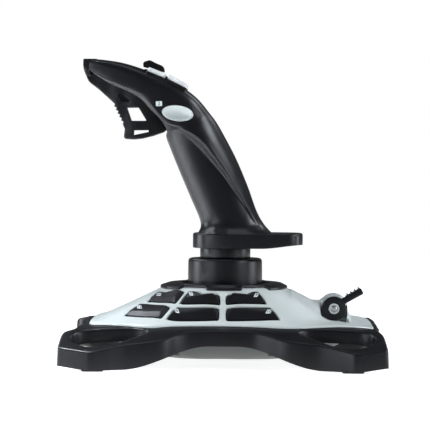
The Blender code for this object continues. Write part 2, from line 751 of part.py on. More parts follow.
# ------------------------------------------------------------ gimbal and collar
def build_gimbal():
    pivot = (0, 0, PIVOT_Z)
    yoke = make_object("pitch_yoke", *block((-16.5, -14.5, PIVOT_Z - 3.5), (16.5, 14.5, PIVOT_Z + 3.5)),
                       INNER, pivot)
    window = block((-11.5, -10.0, PIVOT_Z - 9), (11.5, 10.0, PIVOT_Z + 9))
    cut(yoke, make_object("yoke_window_cutter", *window, INNER))
    for sx in (-1, 1):
        pin = cylinder((sx * 19.0, 0, PIVOT_Z), 2.6, 6.8, "X", 20)
        part = make_object(f"yoke_pin_{sx + 1}", *pin, INNER)
        part.hide_render = True
        part.display_type = "WIRE"
        mod = yoke.modifiers.new("pin", "BOOLEAN")
        mod.operation = "UNION"
        mod.solver = "EXACT"
        mod.object = part
    bore = cylinder((0, 0, PIVOT_Z), 2.9, 40, "Y", 20)
    cut(yoke, make_object("roll_bore_cutter", *bore, INNER))

    tube = lathe([(6.2, 42.0), (8.4, 42.0), (8.4, 72.2), (6.2, 72.2)], 28)
    roll = make_object("stick_tube", *tube, STEEL, pivot, smooth=True)
    for sy in (-1, 1):
        pin = cylinder((0, sy * 10.9, PIVOT_Z), 2.6, 6.6, "Y", 20)
        part = make_object(f"tube_pin_{sy + 1}", *pin, STEEL)
        part.hide_render = True
        part.display_type = "WIRE"
        mod = roll.modifiers.new("pin", "BOOLEAN")
        mod.operation = "UNION"
        mod.solver = "EXACT"
        mod.object = part
    skirt = [(24.4, COLLAR_BOTTOM), (COLLAR_R, COLLAR_BOTTOM), (COLLAR_R, 72.0), (26.3, 74.1),
             (24.6, COLLAR_TOP), (6.2, COLLAR_TOP), (6.2, 72.5), (24.4, 72.5)]
    make_object("collar", *lathe(skirt, 48), BLACK, pivot, smooth=True)
    make_object("centering_spring", *coil(0, 0, 59.6, 71.6, 11.4, 1.0, 5), STEEL, pivot, smooth=True)
    make_object("spring_seat", *lathe([(8.8, 58.1), (13.0, 58.1), (13.0, 59.3), (8.8, 59.3)], 28),
                INNER, pivot)
    make_object("twist_sensor", *lathe([(1.8, 43.0), (5.9, 43.0), (5.9, 52.0), (1.8, 52.0)], 20),
                SENSOR, pivot)


def coil(cx, cy, z0, z1, radius, wire, turns, per_turn=12, sides=5):
    """Round-wire helix standing between two heights."""
    rings = []
    total = turns * per_turn
    rise = (z1 - z0 - 2 * wire) / total
    for k in range(total + 1):
        a = 2 * math.pi * k / per_turn
        centre = Vector((cx + radius * math.cos(a), cy + radius * math.sin(a), z0 + wire + rise * k))
        out = Vector((math.cos(a), math.sin(a), 0))
        ring = []
        for s in range(sides):
            b = 2 * math.pi * s / sides
            ring.append(tuple(centre + out * (wire * math.cos(b)) + Vector((0, 0, wire * math.sin(b)))))
        rings.append(ring)
    return loft(rings)


# ------------------------------------------------------------ grip
def grip_station(s):
    """Station values at loft parameter s."""
    return [spline_value([row[i] for row in GRIP], s) for i in range(6)]


def section_power(s):
    """Exponent of the section curve: squarer shoulders under the head keys."""
    return 0.88 - 0.26 * smoothstep((s - 6.5) / 1.8) * (1 - smoothstep((s - 12.0) / 3.0))


def grip_point(s, theta_part, inset, side):
    """Point of a grip section: theta_part runs 0 (rear or top) to 1 (lip)."""
    ry, rz, fy, fz, half_w, opening = grip_station(s)
    opening = max(0.0, opening)
    rear = Vector((ry, rz))
    lip = Vector((fy, fz))
    span = (lip - rear).length
    power = section_power(s)
    half_d = span / (1 + math.cos(opening) ** power)
    way = (rear - lip) / span
    centre = rear - way * half_d
    theta = (math.pi - opening) * theta_part
    c = math.cos(theta)
    w = math.sin(theta)
    cd = math.copysign(abs(c) ** power, c)
    wd = abs(w) ** power
    pos = centre + way * ((half_d - inset) * cd)
    return (side * (half_w - inset) * wd, pos.x, pos.y)


def grip_half(side):
    """Thick half shell of the grip and head on one side of the split plane."""
    steps = 30
    around = 11
    last = len(GRIP) - 1
    rows = [last * k / steps for k in range(steps + 1)]
    grids = []
    for inset in (0.0, GRIP_WALL):
        grid = []
        for s in rows:
            line = []
            for i in range(around + 1):
                x, y, z = grip_point(s, i / around, inset, side)
                line.append((side * max(abs(x), GAP / 2), y, z))
            grid.append(line)
        grids.append(grid)
    n = around + 1
    layer = len(rows) * n
    verts = [p for grid in grids for line in grid for p in line]
    faces = []
    for level in (0, 1):
        for k in range(len(rows) - 1):
            for i in range(around):
                a = level * layer + k * n + i
                faces.append((a, a + 1, a + n + 1, a + n))
    for k in range(len(rows) - 1):
        for i in (0, around):
            a = k * n + i
            faces.append((a, a + n, a + n + layer, a + layer))
    for k in (0, len(rows) - 1):
        for i in range(around):
            a = k * n + i
            faces.append((a, a + 1, a + 1 + layer, a + layer))
    return verts, faces


def slope_frame(y, z, x, angle):
    """Local frame on the head top: X along world X, Y along the slope."""
    turn = Matrix.Rotation(math.radians(angle), 4, "X")
    turn.translation = Vector((x, y, z))
    return turn


HEAD_BUTTONS = {
    "head_button_3": (-10.2, 34.6, 202.3, 27.0, 15.2),
    "head_button_4": (10.2, 34.6, 202.3, 27.0, 15.2),
    "head_button_5": (-10.2, 50.2, 208.9, 21.5, 12.6),
    "head_button_6": (10.2, 50.2, 208.9, 21.5, 12.6),
}


HANDLE_SCREWS = ((-4.0, 107.0, 15.8), (11.5, 138.0, 14.6), (22.0, 160.0, 15.0))


def build_grip():
    spine = (0, 0, PIVOT_Z)
    halves = {}
    for name, side in (("handle_left_shell", -1), ("handle_right_shell", 1)):
        halves[side] = make_object(name, *grip_half(side), BLACK, spine, smooth=True)
    for name, (x, y, z, angle, length) in HEAD_BUTTONS.items():
        frame = slope_frame(y, z, x, angle)
        body = block((-3.6, -length / 2, -5.2), (3.6, length / 2, 1.5))
        make_object(name, *placed(body, frame), PALE, (x, y, z))
        grown = block((-4.0, -length / 2 - 0.4, -14), (4.0, length / 2 + 0.4, 6))
        cutter = make_object(name + "_cutter", *placed(grown, frame), PALE)
        cut(halves[-1 if x < 0 else 1], cutter)
    for k, (y, z, reach) in enumerate(HANDLE_SCREWS):
        well = cylinder((18.0, y, z), 2.4, 18.0, "X", 16)
        cut(halves[1], make_object(f"screw_well_{k + 1}_cutter", *well, BLACK))
    turn = math.radians(THUMB_TILT)
    rings = {}
    for key, grow, x0, x1 in (("thumb_button", 0.0, -20.0, -12.6), ("thumb_cutter", 0.4, -28, -8)):
        outline = []
        for k in range(28):
            a = 2 * math.pi * k / 28
            u = (THUMB_LONG + grow) * math.cos(a)
            v = (THUMB_SHORT + grow) * math.sin(a)
            outline.append((THUMB_Y + u * math.cos(turn) - v * math.sin(turn),
                            THUMB_Z + u * math.sin(turn) + v * math.cos(turn)))
        shape = side_prism(outline, x0, x1)
        rings[key] = make_object(key, *shape, PALE, (0, THUMB_Y, THUMB_Z) if not grow else (0, 0, 0))
    cut(halves[-1], rings["thumb_cutter"])
    for side in (-1, 1):
        hole = cylinder((0, HAT_Y, HAT_Z + 4), 5.0, 16, "Z", 24)
        cut(halves[side], make_object(f"hat_cutter_{side + 1}", *hole, BLACK))


def build_hand_rest():
    """Flange under the fist with a tail behind and to the sides."""
    half = ((0, -56, 0), (12, -55.4, 0), (20, -50, 0), (22.6, -38, 0), (24.5, -18, 0),
            (25.0, -2, 0), (21.0, 13.5, 0), (12, 21.6, 0), (0, 23.5, 0))
    loop = mirrored_loop(half, 4)
    bore = [(11 * math.cos(2 * math.pi * k / 24), 11 * math.sin(2 * math.pi * k / 24))
            for k in range(24)]

    def low(x, y):
        return (x, y, FLANGE_BOTTOM + 2.6 * smoothstep((-26 - y) / 30))

    fill = [(x, y) for x in (-8, 8) for y in (-46, -36, -26)]
    shape = plan_solid([loop, bore], fill, lambda x, y: (x, y, FLANGE_TOP), low)
    rest = make_object("hand_rest", *shape, BLACK, (0, 0, PIVOT_Z))
    soften(rest, 0.8, 50)
    ring = [(4.0, 66.0), (5.8, 66.0), (5.8, 75.3), (NECK_R, 75.3), (NECK_R, 82.3), (4.0, 82.3)]
    make_object("neck", *lathe(ring, 40), BLACK, (0, 0, PIVOT_Z), smooth=True)


def trigger_half_width(y):
    """Half width of the trigger blade: widest at the finger, narrower at both ends."""
    for (y0, w0), (y1, w1) in zip(TRIGGER_WIDTHS, TRIGGER_WIDTHS[1:]):
        if y <= y1:
            return w0 + (w1 - w0) * smoothstep((y - y0) / (y1 - y0))
    return TRIGGER_WIDTHS[-1][1]


def build_trigger():
    """Trigger blade with two windows and a toothed finger edge."""
    front = smooth_run(((100.7, 205.9), (98.3, 201.6), (91.2, 195.8), (82.0, 187.4)), 3)
    teeth = []
    y0, z0 = 81.2, 185.8
    y1, z1 = 73.6, 170.6
    for k in range(TEETH):
        a = k / TEETH
        b = (k + 0.65) / TEETH
        teeth.append((y0 + (y1 - y0) * a - 0.9, z0 + (z1 - z0) * a))
        teeth.append((y0 + (y1 - y0) * b + 0.5, z0 + (z1 - z0) * b))
    heel = [(72.9, 168.8), (73.7, 162.0), (72.5, 160.6), (66.5, 160.3), (60.3, 161.0),
            (52.5, 163.0), (45.4, 165.6)]
    inner = [(42.6, 170.6), (47.5, 176.6), (55.0, 185.0), (62.5, 192.2), (70.5, 197.4),
             (80.0, 201.4), (88.5, 205.6), (93.5, 210.9), (96.8, 210.9)]
    outline = front + teeth + heel + inner
    windows = [[(71.9, 183.3), (63.0, 183.4), (57.3, 173.9), (68.6, 173.8)],
               [(66.8, 167.0), (55.6, 167.1), (55.6, 165.9), (67.0, 163.4)]]
    fill = [(y, z) for y in range(46, 98, 5) for z in range(163, 209, 5)]
    flat, faces = plan_solid([outline] + windows, fill, lambda y, z: (y, z, trigger_half_width(y)),
                             lambda y, z: (y, z, -trigger_half_width(y)))
    verts = [(x, y, z) for y, z, x in flat]
    blade = make_object("trigger", verts, faces, SATIN, (0, TRIGGER_PIN_Y, TRIGGER_PIN_Z))
    bore = cylinder((0, TRIGGER_PIN_Y, TRIGGER_PIN_Z), 1.35, 30, "X", 16)
    cut(blade, make_object("trigger_bore_cutter", *bore, SATIN))
    pin = cylinder((0, TRIGGER_PIN_Y, TRIGGER_PIN_Z), 1.05, 16.0, "X", 16)
    make_object("trigger_pin", *pin, STEEL, (0, 0, PIVOT_Z))
    cap = [(NOSE_Y, 218.2), (NOSE_TIP_Y - 0.5, 218.4), (NOSE_TIP_Y, 217.6), (NOSE_TIP_Y, 212.0),
           (102.4, 209.4), (101.5, 207.2), (NOSE_Y, 206.4)]
    make_object("nose_cap", *side_prism(cap, -8.6, 8.6), SATIN, (0, 0, PIVOT_Z))


def build_head_inside():
    spine = (0, 0, PIVOT_Z)
    frame = slope_frame(42.5, 193.6, 0, 24.0)
    board = block((-9.5, -12.5, -0.8), (9.5, 13.0, 0.8))
    make_object("head_board", *placed(board, frame), BOARD, spine)
    switch = block((-9.5, THUMB_Y - 4, THUMB_Z - 3), (-5.5, THUMB_Y + 3, THUMB_Z + 3))
    make_object("thumb_switch", *switch, SENSOR, spine)
    make_object("trigger_switch", *block((-3.5, 32.0, 171.5), (3.5, 38.0, 176.0)), SENSOR, spine)
    tube = cylinder((0, 6.5, 110), 3.2, 26, "Z", 16)
    make_object("grip_wire_guide", *tube, INNER, spine)
    for k, (y, z, reach) in enumerate(HANDLE_SCREWS):
        post = cylinder(((1.0 + reach) / 2, y, z), 1.9, reach - 1.0, "X", 14)
        make_object(f"handle_screw_{k + 1}", *post, STEEL, spine)


def build_hat():
    pivot = (0, HAT_Y, HAT_Z)
    side = [(60.0, 212.9), (60.1, 215.5), (59.3, 216.6), (55.7, 217.7), (54.3, 217.4),
            (51.5, 215.9), (46.1, 213.6), (45.2, 212.4), (44.6, 209.6), (45.2, 209.0)]
    cap = make_object("hat_cap", *side_prism(side, -HAT_HALF_W, HAT_HALF_W), BLACK, pivot)
    stem = make_object("hat_stem_add", *cylinder((0, HAT_Y, HAT_Z + 6.4), 2.2, 10.4, "Z", 16), BLACK)
    stem.hide_render = True
    stem.display_type = "WIRE"
    mod = cap.modifiers.new("stem", "BOOLEAN")
    mod.operation = "UNION"
    mod.solver = "EXACT"
    mod.object = stem
    cross = cylinder((0, HAT_Y, HAT_Z - 0.6), 2.6, 2.4, "Z", 16)
    make_object("hat_gimbal", *cross, INNER, pivot)


def build_all():
    clear_scene()
    build_base_frame()
    build_top_shell()
    build_base_buttons()
    build_pan()
    build_feet()
    build_ring()
    build_housing()
    build_throttle()
    build_base_inside()
    build_gimbal()
    build_grip()
    build_hand_rest()
    build_trigger()
    build_head_inside()
    build_hat()


build_all()
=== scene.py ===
"""Flight joystick: detailed surfaces, materials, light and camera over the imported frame.

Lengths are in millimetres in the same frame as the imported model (+Z up, +Y away from
the player, +X to the player's right) and become metres when a mesh is made.
"""
import functools
import json
import math

import bmesh
import bpy
from mathutils import Matrix, Vector, geometry

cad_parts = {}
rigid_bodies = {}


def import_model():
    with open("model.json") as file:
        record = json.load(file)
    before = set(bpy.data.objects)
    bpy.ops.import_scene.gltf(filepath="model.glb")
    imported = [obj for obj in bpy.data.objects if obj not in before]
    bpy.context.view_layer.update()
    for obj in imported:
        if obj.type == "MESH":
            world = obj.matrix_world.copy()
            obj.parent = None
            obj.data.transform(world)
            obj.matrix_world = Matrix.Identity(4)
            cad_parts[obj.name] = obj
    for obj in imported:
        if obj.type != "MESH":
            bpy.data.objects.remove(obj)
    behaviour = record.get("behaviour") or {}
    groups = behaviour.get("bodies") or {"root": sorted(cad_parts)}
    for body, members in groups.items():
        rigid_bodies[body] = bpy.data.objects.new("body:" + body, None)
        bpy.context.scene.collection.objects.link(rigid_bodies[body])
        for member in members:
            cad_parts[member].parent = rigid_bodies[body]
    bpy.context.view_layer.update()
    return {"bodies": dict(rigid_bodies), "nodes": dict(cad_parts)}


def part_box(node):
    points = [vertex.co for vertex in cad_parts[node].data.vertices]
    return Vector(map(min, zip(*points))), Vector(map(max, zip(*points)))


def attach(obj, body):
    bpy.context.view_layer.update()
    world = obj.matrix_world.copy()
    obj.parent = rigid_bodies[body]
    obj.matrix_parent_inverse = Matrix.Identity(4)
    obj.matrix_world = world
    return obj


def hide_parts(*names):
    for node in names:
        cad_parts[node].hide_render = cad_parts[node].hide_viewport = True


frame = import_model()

MM = 0.001
NODES = frame["nodes"]

# ---- base dimensions
ROOF_X = 50.0
ROOF_BEND = 20.0
ROOF_Z = 30.3
ROOF_SLOPE = 0.45
REAR_DIP = 2.6
FRONT_DIP = 1.6
INWARD_RISE = 0.85
UNDER_Z = 0.9
END_RISE = 2.6
WAIST_UNDER_Z = 16.0
OPENING_SCALE = 0.88
PAN_SCALE = 0.855
PAN_FLOOR_Z = 2.2
PAN_RISE = 18.3
PAN_WALL = 2.2
WELL_X = 36
WELL_Y = 34
WELL_R = 2.9
# half outlines run from the rear (0, -y) to the front (0, y); a third value of 1 is a hard corner
FRAME_HALF = ((0, -112), (32, -111), (60, -108), (73, -112.5), (92.5, -115, 1), (98, -92, 1),
              (92.5, -81), (86.5, -66), (84, -53), (80.5, -41), (74, -30), (70, -19), (69, 0),
              (70, 19), (74, 30.5), (81, 40.5), (85, 54), (88, 67), (93, 79), (98, 91, 1),
              (91.5, 115, 1), (71, 112.5), (60, 104.5), (32, 102), (0, 101))
RIM_HALF = ((0, -107), (30, -106.5), (50, -104), (58, -95), (60.5, -75), (64, -48), (61.5, -22),
            (60, 0), (61, 34), (64.5, 51), (61.5, 67), (58, 85), (50, 94), (28, 96), (0, 96.5))
HOLE_INNER_Y = 54.0
HOLE_OUTER_Y = 105.5
HOLE_X = 75.0
HOLE_HALF_W = 12.5
RING_R = 42.0
DOME_TOP = 55.5
DOME_DROP = 26.0
DOME_REAR_R = 76.0
RING_BORE = 32.0
RING_TOP = 57.4
RING_FOOT = 54.0
# plan angles off the X axis between which the silver reaches in under the ring
TONGUE_FROM = 15.8
TONGUE_TO = 45.5
TONGUE_EDGE = 3.0
COLLAR_R = 27.0
COLLAR_TOP = 75.0
COLLAR_BOTTOM = 54.5
NECK_R = 18.2
# base button corners: y across, t down the dome (0 ring, 1 rim)
PADS = {
    "base_button_7": ((3.0, .41), (3.4, .19), (15.3, .20), (18.8, .12), (25.0, .12), (31.0, .41)),
    "base_button_8": ((3.9, .81), (3.6, .54), (33.2, .53), (39.9, .80)),
    "base_button_9": ((-1.8, .40), (-1.7, .20), (-15.7, .19), (-18.4, .12), (-23.9, .12),
                      (-29.7, .40)),
    "base_button_10": ((-2.0, .82), (-1.9, .54), (-32.9, .53), (-39.0, .80)),
    "base_button_11": ((34.5, .41), (28.5, .12), (34.8, .12), (40.5, .18), (46.6, .18),
                       (54.3, .40)),
    "base_button_12": ((44.3, .79), (38.2, .52), (59.6, .49), (69.9, .75)),
}
PAD_PROUD = 1.6
PAD_GAP = 0.7
# base button levels: drawn in, drawn in more on the downhill side, height, corner radius
PAD_LEVELS = ((0.0, 0.0, -4.0, 1.2), (0.0, 0.0, -0.1, 1.2), (0.1, 0.0, 0.25, 1.2),
              (0.3, 0.25, 0.4, 1.1), (0.4, 2.9, PAD_PROUD - 0.12, 1.0), (0.7, 3.2, PAD_PROUD, 0.9))
# base button tags: y, t, sideways lean
TAGS = {"base_button_7": (23.2, .20, -0.9), "base_button_8": (33.0, .64, -0.7),
        "base_button_9": (-22.6, .22, 0.9), "base_button_10": (-31.8, .64, 0.8),
        "base_button_11": (46.2, .26, -0.9), "base_button_12": (59.6, .58, -0.9)}
THROTTLE_Y = -78.7
THROTTLE_Z = 39.5
HUMP_R = 10.3
HUB_R = 8.7
LEVER_R = 24.0
LEVER_ANGLE = 29.0
ARM_HALF = 2.15
ARM_LIFT = 1.5
ARM_X = -15.6
HOUSING_HALF_W = 9.3

# ---- grip dimensions
GRIP_WALL = 2.2
# stations: rear/top point (y, z), front/lower lip point (y, z), half width, lip opening
GRIP = ((-34.5, 91.9, 20.5, 91.9, 23.0, 0.0), (-27.4, 100.4, 17.9, 97.5, 19.5, 0.0),
        (-22.2, 110.0, 19.0, 104.0, 17.6, 0.0), (-16.0, 127.0, 24.2, 116.0, 16.6, 0.0),
        (-7.6, 146.6, 32.6, 135.5, 16.4, 0.0), (1.6, 164.0, 40.2, 154.0, 16.8, 0.0),
        (7.0, 173.2, 43.2, 162.6, 17.4, 0.0), (11.6, 179.3, 43.0, 167.2, 17.9, 0.62),
        (19.6, 189.0, 46.8, 173.9, 18.6, 0.80), (28.0, 196.0, 53.5, 180.6, 18.8, 0.85),
        (38.0, 201.6, 61.0, 188.8, 18.2, 0.85), (49.0, 206.8, 68.5, 193.5, 17.2, 0.85),
        (61.0, 211.6, 77.0, 197.2, 15.6, 0.85), (74.5, 215.6, 86.4, 201.6, 13.5, 0.85),
        (87.0, 217.6, 94.4, 206.6, 10.9, 0.85), (94.5, 218.2, 98.2, 209.4, 8.9, 0.85),
        (100.6, 218.3, 100.6, 211.2, 7.2, 0.85))
GRIP_STEPS = 190
GRIP_AROUND = 104
# crease up the side of the grip and on under the thumb key: (y, z, flank width, step height);
# the surface behind and above the crease stands proud of the surface in front of it
CREASE = ((-28.2, 91.0, 2.6, 0.6), (-26.0, 94.4, 2.8, 0.9), (-19.6, 101.6, 3.4, 1.7),
          (-14.7, 109.2, 4.2, 2.3), (-9.6, 117.3, 5.2, 2.9), (-4.5, 124.7, 6.6, 3.4),
          (2.0, 134.0, 8.6, 4.3), (12.4, 145.9, 11.4, 5.4), (19.3, 153.6, 12.6, 5.6),
          (26.6, 160.4, 10.6, 4.2), (32.4, 164.8, 6.4, 2.4), (38.0, 167.3, 3.2, 1.5),
          (42.8, 169.0, 2.4, 1.3), (46.4, 171.2, 2.2, 1.2), (50.0, 175.8, 2.2, 1.2),
          (53.7, 181.5, 2.2, 0.9), (58.6, 188.8, 2.2, 0.0))
CREASE_DEPTH = 0.85
FLANGE_BOTTOM = 82.6
FLANGE_TOP = 92.8
REST_HALF = ((0, -56), (12, -55.4), (20, -50), (22.6, -38), (24.5, -18), (25.0, -2),
             (21.0, 13.5), (12, 21.6), (0, 23.5))
THUMB_Y = 34.5
THUMB_Z = 179.3
THUMB_LONG = 11.25
THUMB_SHORT = 5.65
THUMB_TILT = 7.0
THUMB_TAG_Y = 47.9
THUMB_TAG_Z = 186.1
# thumb key rings: share of the outline, x
THUMB_LEVELS = ((1.0, -13.0), (1.0, -18.9), (0.985, -19.5), (0.955, -19.72), (0.925, -19.6),
                (0.88, -19.2), (0.80, -18.7), (0.68, -18.15), (0.52, -17.6), (0.34, -17.2),
                (0.17, -17.0), (0.02, -16.95))
HAT_Y = 52.0
HAT_Z = 203.0
HAT_HALF_W = 5.2
HAT_SIDE = ((60.0, 212.9), (60.1, 215.5), (59.3, 216.6), (55.7, 217.7), (54.3, 217.4),
            (51.5, 215.9), (46.1, 213.6), (45.2, 212.4), (44.6, 209.6), (45.2, 209.0))
BOOT_HALF = (4.6, 7.1)
# soft collar under the hat: growth, height at its rear, height at its front
BOOT_LEVELS = ((0.6, 201.0, 206.5), (0.3, 205.8, 209.8), (0.0, 207.4, 211.2), (-0.8, 207.9, 211.7))
HEAD_BUTTON_HALF_W = 3.6
HEAD_BUTTON_X = 10.2
# head buttons: x, y, z, slope, length
HEAD_BUTTONS = {
    "head_button_3": (-HEAD_BUTTON_X, 34.6, 202.3, 27.0, 15.2),
    "head_button_4": (HEAD_BUTTON_X, 34.6, 202.3, 27.0, 15.2),
    "head_button_5": (-HEAD_BUTTON_X, 50.2, 208.9, 21.5, 12.6),
    "head_button_6": (HEAD_BUTTON_X, 50.2, 208.9, 21.5, 12.6),
}

# ---- trigger and nose, side view (y, z)
# half width at stations along y
TRIGGER_WIDTHS = ((42.0, 6.0), (56.0, 9.2), (64.0, 9.2), (76.0, 7.4), (88.0, 5.6), (97.0, 4.8))
TRIGGER_FRONT = ((101.3, 206.2), (98.8, 201.6), (91.4, 195.8), (82.0, 187.4))
TRIGGER_HEEL = ((72.9, 168.8), (73.7, 162.0), (72.5, 160.6), (66.5, 160.3), (60.3, 161.0),
                (52.5, 163.0), (44.2, 165.9))
TRIGGER_INNER = ((41.4, 168.6), (46.6, 175.6), (55.0, 185.0), (62.5, 192.2), (70.5, 197.4),
                 (80.0, 201.4), (88.5, 205.6), (93.5, 210.9))
TRIGGER_WINDOWS = (((71.9, 183.3), (63.0, 183.4), (57.3, 173.9), (68.6, 173.8)),
                   ((66.8, 167.0), (55.6, 167.1), (55.6, 165.9), (67.0, 163.4)))
TRIGGER_POCKET = ((78.4, 192.9), (76.8, 194.1), (69.3, 188.7), (70.5, 187.5), (75.1, 187.5))
TEETH = 6
TEETH_START = (81.2, 185.8)
TEETH_END = (73.6, 170.6)
NOSE_TOP = [(93.6, 218.4), (102.5, 218.4), (103.05, 218.1)]
NOSE_FRONT = ((103.2, 217.4), (103.2, 213.4), (102.4, 209.4), (101.2, 206.4))
NOSE_REAR = ((97.0, 206.4), (98.2, 209.6), (98.9, 213.4), (98.2, 216.6))

# ---- light, floor, camera
# softboxes round the object: azimuth from the camera side toward the front, elevation (degrees),
# width, height (m), power (W)
SOFTBOXES = {"front_main": (48, 10, 0.62, 0.42, 3.0), "front_low": (97, 2, 0.46, 0.24, 3.0),
             "front_high": (90, 38, 0.50, 0.42, 5.2), "rear_main": (-55, 12, 0.50, 0.42, 3.3),
             "rear_low": (-95, 2, 0.42, 0.24, 2.3), "rear_high": (-80, 38, 0.50, 0.42, 8.0),
             "back_front": (135, 38, 0.42, 0.42, 3.0), "back_rear": (-135, 38, 0.42, 0.42, 2.0),
             "top": (0, 90, 0.42, 0.42, 1.2)}
# narrow boxes that light the paper in front of and behind the object: place, size (m), power (W)
WASHES = {"front_wash": ((-0.20, 0.38, 0.7), 0.3, 5.0), "rear_wash": ((-0.15, -0.6, 0.8), 0.4, 1.2)}
WASH_SPREAD = 45.0
LIGHT_TINT = (0.88, 0.93, 1.0)
LIGHT_REACH = 1.2
LIGHT_MIDDLE = Vector((0, 0, 0.12))
WORLD_GLOW = 0.08
FLOOR_REACH = (0.46, 1.2, 1.2)    # toward the camera side, away from it, to each side (m)
CAMERA_AT = Vector((-1.79967, -0.02696, 0.155))
CAMERA_AIM = Vector((0.0, 0.0076, 0.106))
CAMERA_ROLL = 0.35
CAMERA_LENS = 207.96


# ---- materials
def wire(node, values):
    """Give a node its inputs: a socket is linked, anything else is set on the node."""
    for key, value in values.items():
        if isinstance(value, bpy.types.NodeSocket):
            node.id_data.links.new(value, node.inputs[key])
        else:
            node.inputs[key].default_value = value
    return node


def add_node(tree, kind, values):
    return wire(tree.nodes.new("ShaderNode" + kind), values)


def object_coords(tree):
    return add_node(tree, "TexCoord", {}).outputs["Object"]


def noise(coords, scale, detail=2.0):
    values = {"Scale": scale, "Detail": detail, "Vector": coords}
    return add_node(coords.id_data, "TexNoise", values).outputs["Fac"]


def ranged(source, low, high, start=0.3, stop=0.7):
    values = {"Value": source, "From Min": start, "From Max": stop, "To Min": low, "To Max": high}
    return add_node(source.id_data, "MapRange", values).outputs["Result"]


def mixed(factor, first, second):
    node = factor.id_data.nodes.new("ShaderNodeMix")
    node.data_type = "RGBA"
    return wire(node, {"Factor": factor, 6: first, 7: second}).outputs[2]


def moulded(name, color, roughness, metallic=0.0, grain=0.25, grain_scale=2600.0,
            spread=0.12, wear=0.0, specular=0.5):
    """Moulded or painted surface: fine grain, mottled colour and gloss, worn edges."""
    mat = bpy.data.materials.new(name)
    mat.use_nodes = True
    tree = mat.node_tree
    coords = object_coords(tree)
    dark, light, worn = ((*(min(1.0, c * share + more) for c in color), 1.0)
                         for share, more in ((1 - spread, 0), (1 + spread, 0), (1, wear)))
    tint = mixed(ranged(noise(coords, 55.0, 3.0), 0.0, 1.0), dark, light)
    if wear:
        edge = add_node(tree, "NewGeometry", {}).outputs["Pointiness"]
        tint = mixed(ranged(edge, 0.0, 0.5, 0.52, 0.62), tint, worn)
    bump = add_node(tree, "Bump", {"Strength": grain, "Distance": 0.0001,
                                   "Height": noise(coords, grain_scale)})
    wire(tree.nodes["Principled BSDF"], {
        "Metallic": metallic, "Specular IOR Level": specular, "Base Color": tint,
        "Roughness": ranged(noise(coords, 240.0), roughness - 0.02, roughness + 0.02),
        "Normal": bump.outputs["Normal"]})
    return mat


def brushed(name, color, roughness):
    """Turned or drawn metal with fine directional scratches."""
    mat = moulded(name, color, roughness, metallic=1.0, grain=0.05, spread=0.06)
    tree = mat.node_tree
    values = {"Vector": object_coords(tree), "Scale": (1.0, 1.0, 14.0)}
    lines = noise(add_node(tree, "Mapping", values).outputs["Vector"], 420.0, 4.0)
    wire(tree.nodes["Principled BSDF"],
         {"Roughness": ranged(lines, roughness - 0.08, roughness + 0.1)})
    return mat


def circuit(name):
    """Black solder mask with slightly paler tracks in a square layout."""
    mat = moulded(name, (0.010, 0.016, 0.013), 0.45, grain=0.1)
    tree = mat.node_tree
    bricks = add_node(tree, "TexBrick", {
        "Vector": object_coords(tree), "Scale": 160.0, "Mortar Size": 0.03,
        "Color1": (0.009, 0.015, 0.012, 1), "Color2": (0.012, 0.019, 0.015, 1),
        "Mortar": (0.035, 0.050, 0.040, 1)})
    wire(tree.nodes["Principled BSDF"], {"Base Color": bricks.outputs["Color"]})
    return mat


LOOKS = {
    "frame_black": moulded("frame_plastic", (0.0070, 0.0070, 0.0085), 0.30, grain=0.22, wear=0.02,
                           specular=0.30),
    "grip_black": moulded("grip_plastic", (0.0075, 0.0075, 0.0090), 0.30, grain=0.12, wear=0.015,
                          grain_scale=3400.0, specular=0.32),
    "satin_black": moulded("satin_plastic", (0.0085, 0.0085, 0.0100), 0.32, grain=0.10, wear=0.02,
                           specular=0.32),
    "shell_silver": moulded("shell_paint", (0.64, 0.69, 0.672), 0.38, metallic=0.12, grain=0.08,
                            grain_scale=4200.0, spread=0.012, specular=0.4),
    "key_pale": moulded("pale_key", (0.86, 0.89, 0.885), 0.30, grain=0.02, spread=0.004),
    "button_silver": moulded("pale_plastic", (0.60, 0.655, 0.645), 0.30, grain=0.02, spread=0.004),
    "pan_grey": moulded("pan_plastic", (0.068, 0.082, 0.078), 0.48, grain=0.3, spread=0.04),
    "rubber": moulded("foot_rubber", (0.012, 0.012, 0.012), 0.82, grain=0.6, spread=0.2),
    "steel": brushed("screw_steel", (0.60, 0.60, 0.55), 0.30),
    "board": circuit("board_mask"),
    "inner_plastic": moulded("natural_plastic", (0.55, 0.56, 0.54), 0.5, spread=0.04),
    "sensor": moulded("component_case", (0.03, 0.04, 0.08), 0.45),
    "marking": moulded("tag_print", (0.70, 0.77, 0.77), 0.45, grain=0.02, spread=0.01),
    "ink": moulded("tag_ink", (0.02, 0.02, 0.022), 0.5, grain=0.05),
}


# ---- mesh helpers
def linked(name, data):
    """New object in the scene."""
    obj = bpy.data.objects.new(name, data)
    bpy.context.scene.collection.objects.link(obj)
    return obj


def smooth_shaded(mesh, angle):
    mesh.shade_smooth()
    mesh.set_sharp_from_angle(angle=math.radians(angle))


def add_mesh(name, verts, faces, look, angle=35.0):
    """Smooth-shaded object from millimetre points in the shared frame."""
    mesh = bpy.data.meshes.new(name)
    mesh.from_pydata([Vector(v) * MM for v in verts], [], faces)
    work = bmesh.new()
    work.from_mesh(mesh)
    bmesh.ops.remove_doubles(work, verts=work.verts, dist=1e-6)
    bmesh.ops.recalc_face_normals(work, faces=work.faces)
    if work.calc_volume(signed=True) < 0:
        bmesh.ops.reverse_faces(work, faces=work.faces)
    work.to_mesh(mesh)
    work.free()
    smooth_shaded(mesh, angle)
    mesh.materials.append(LOOKS[look])
    return linked(name, mesh)


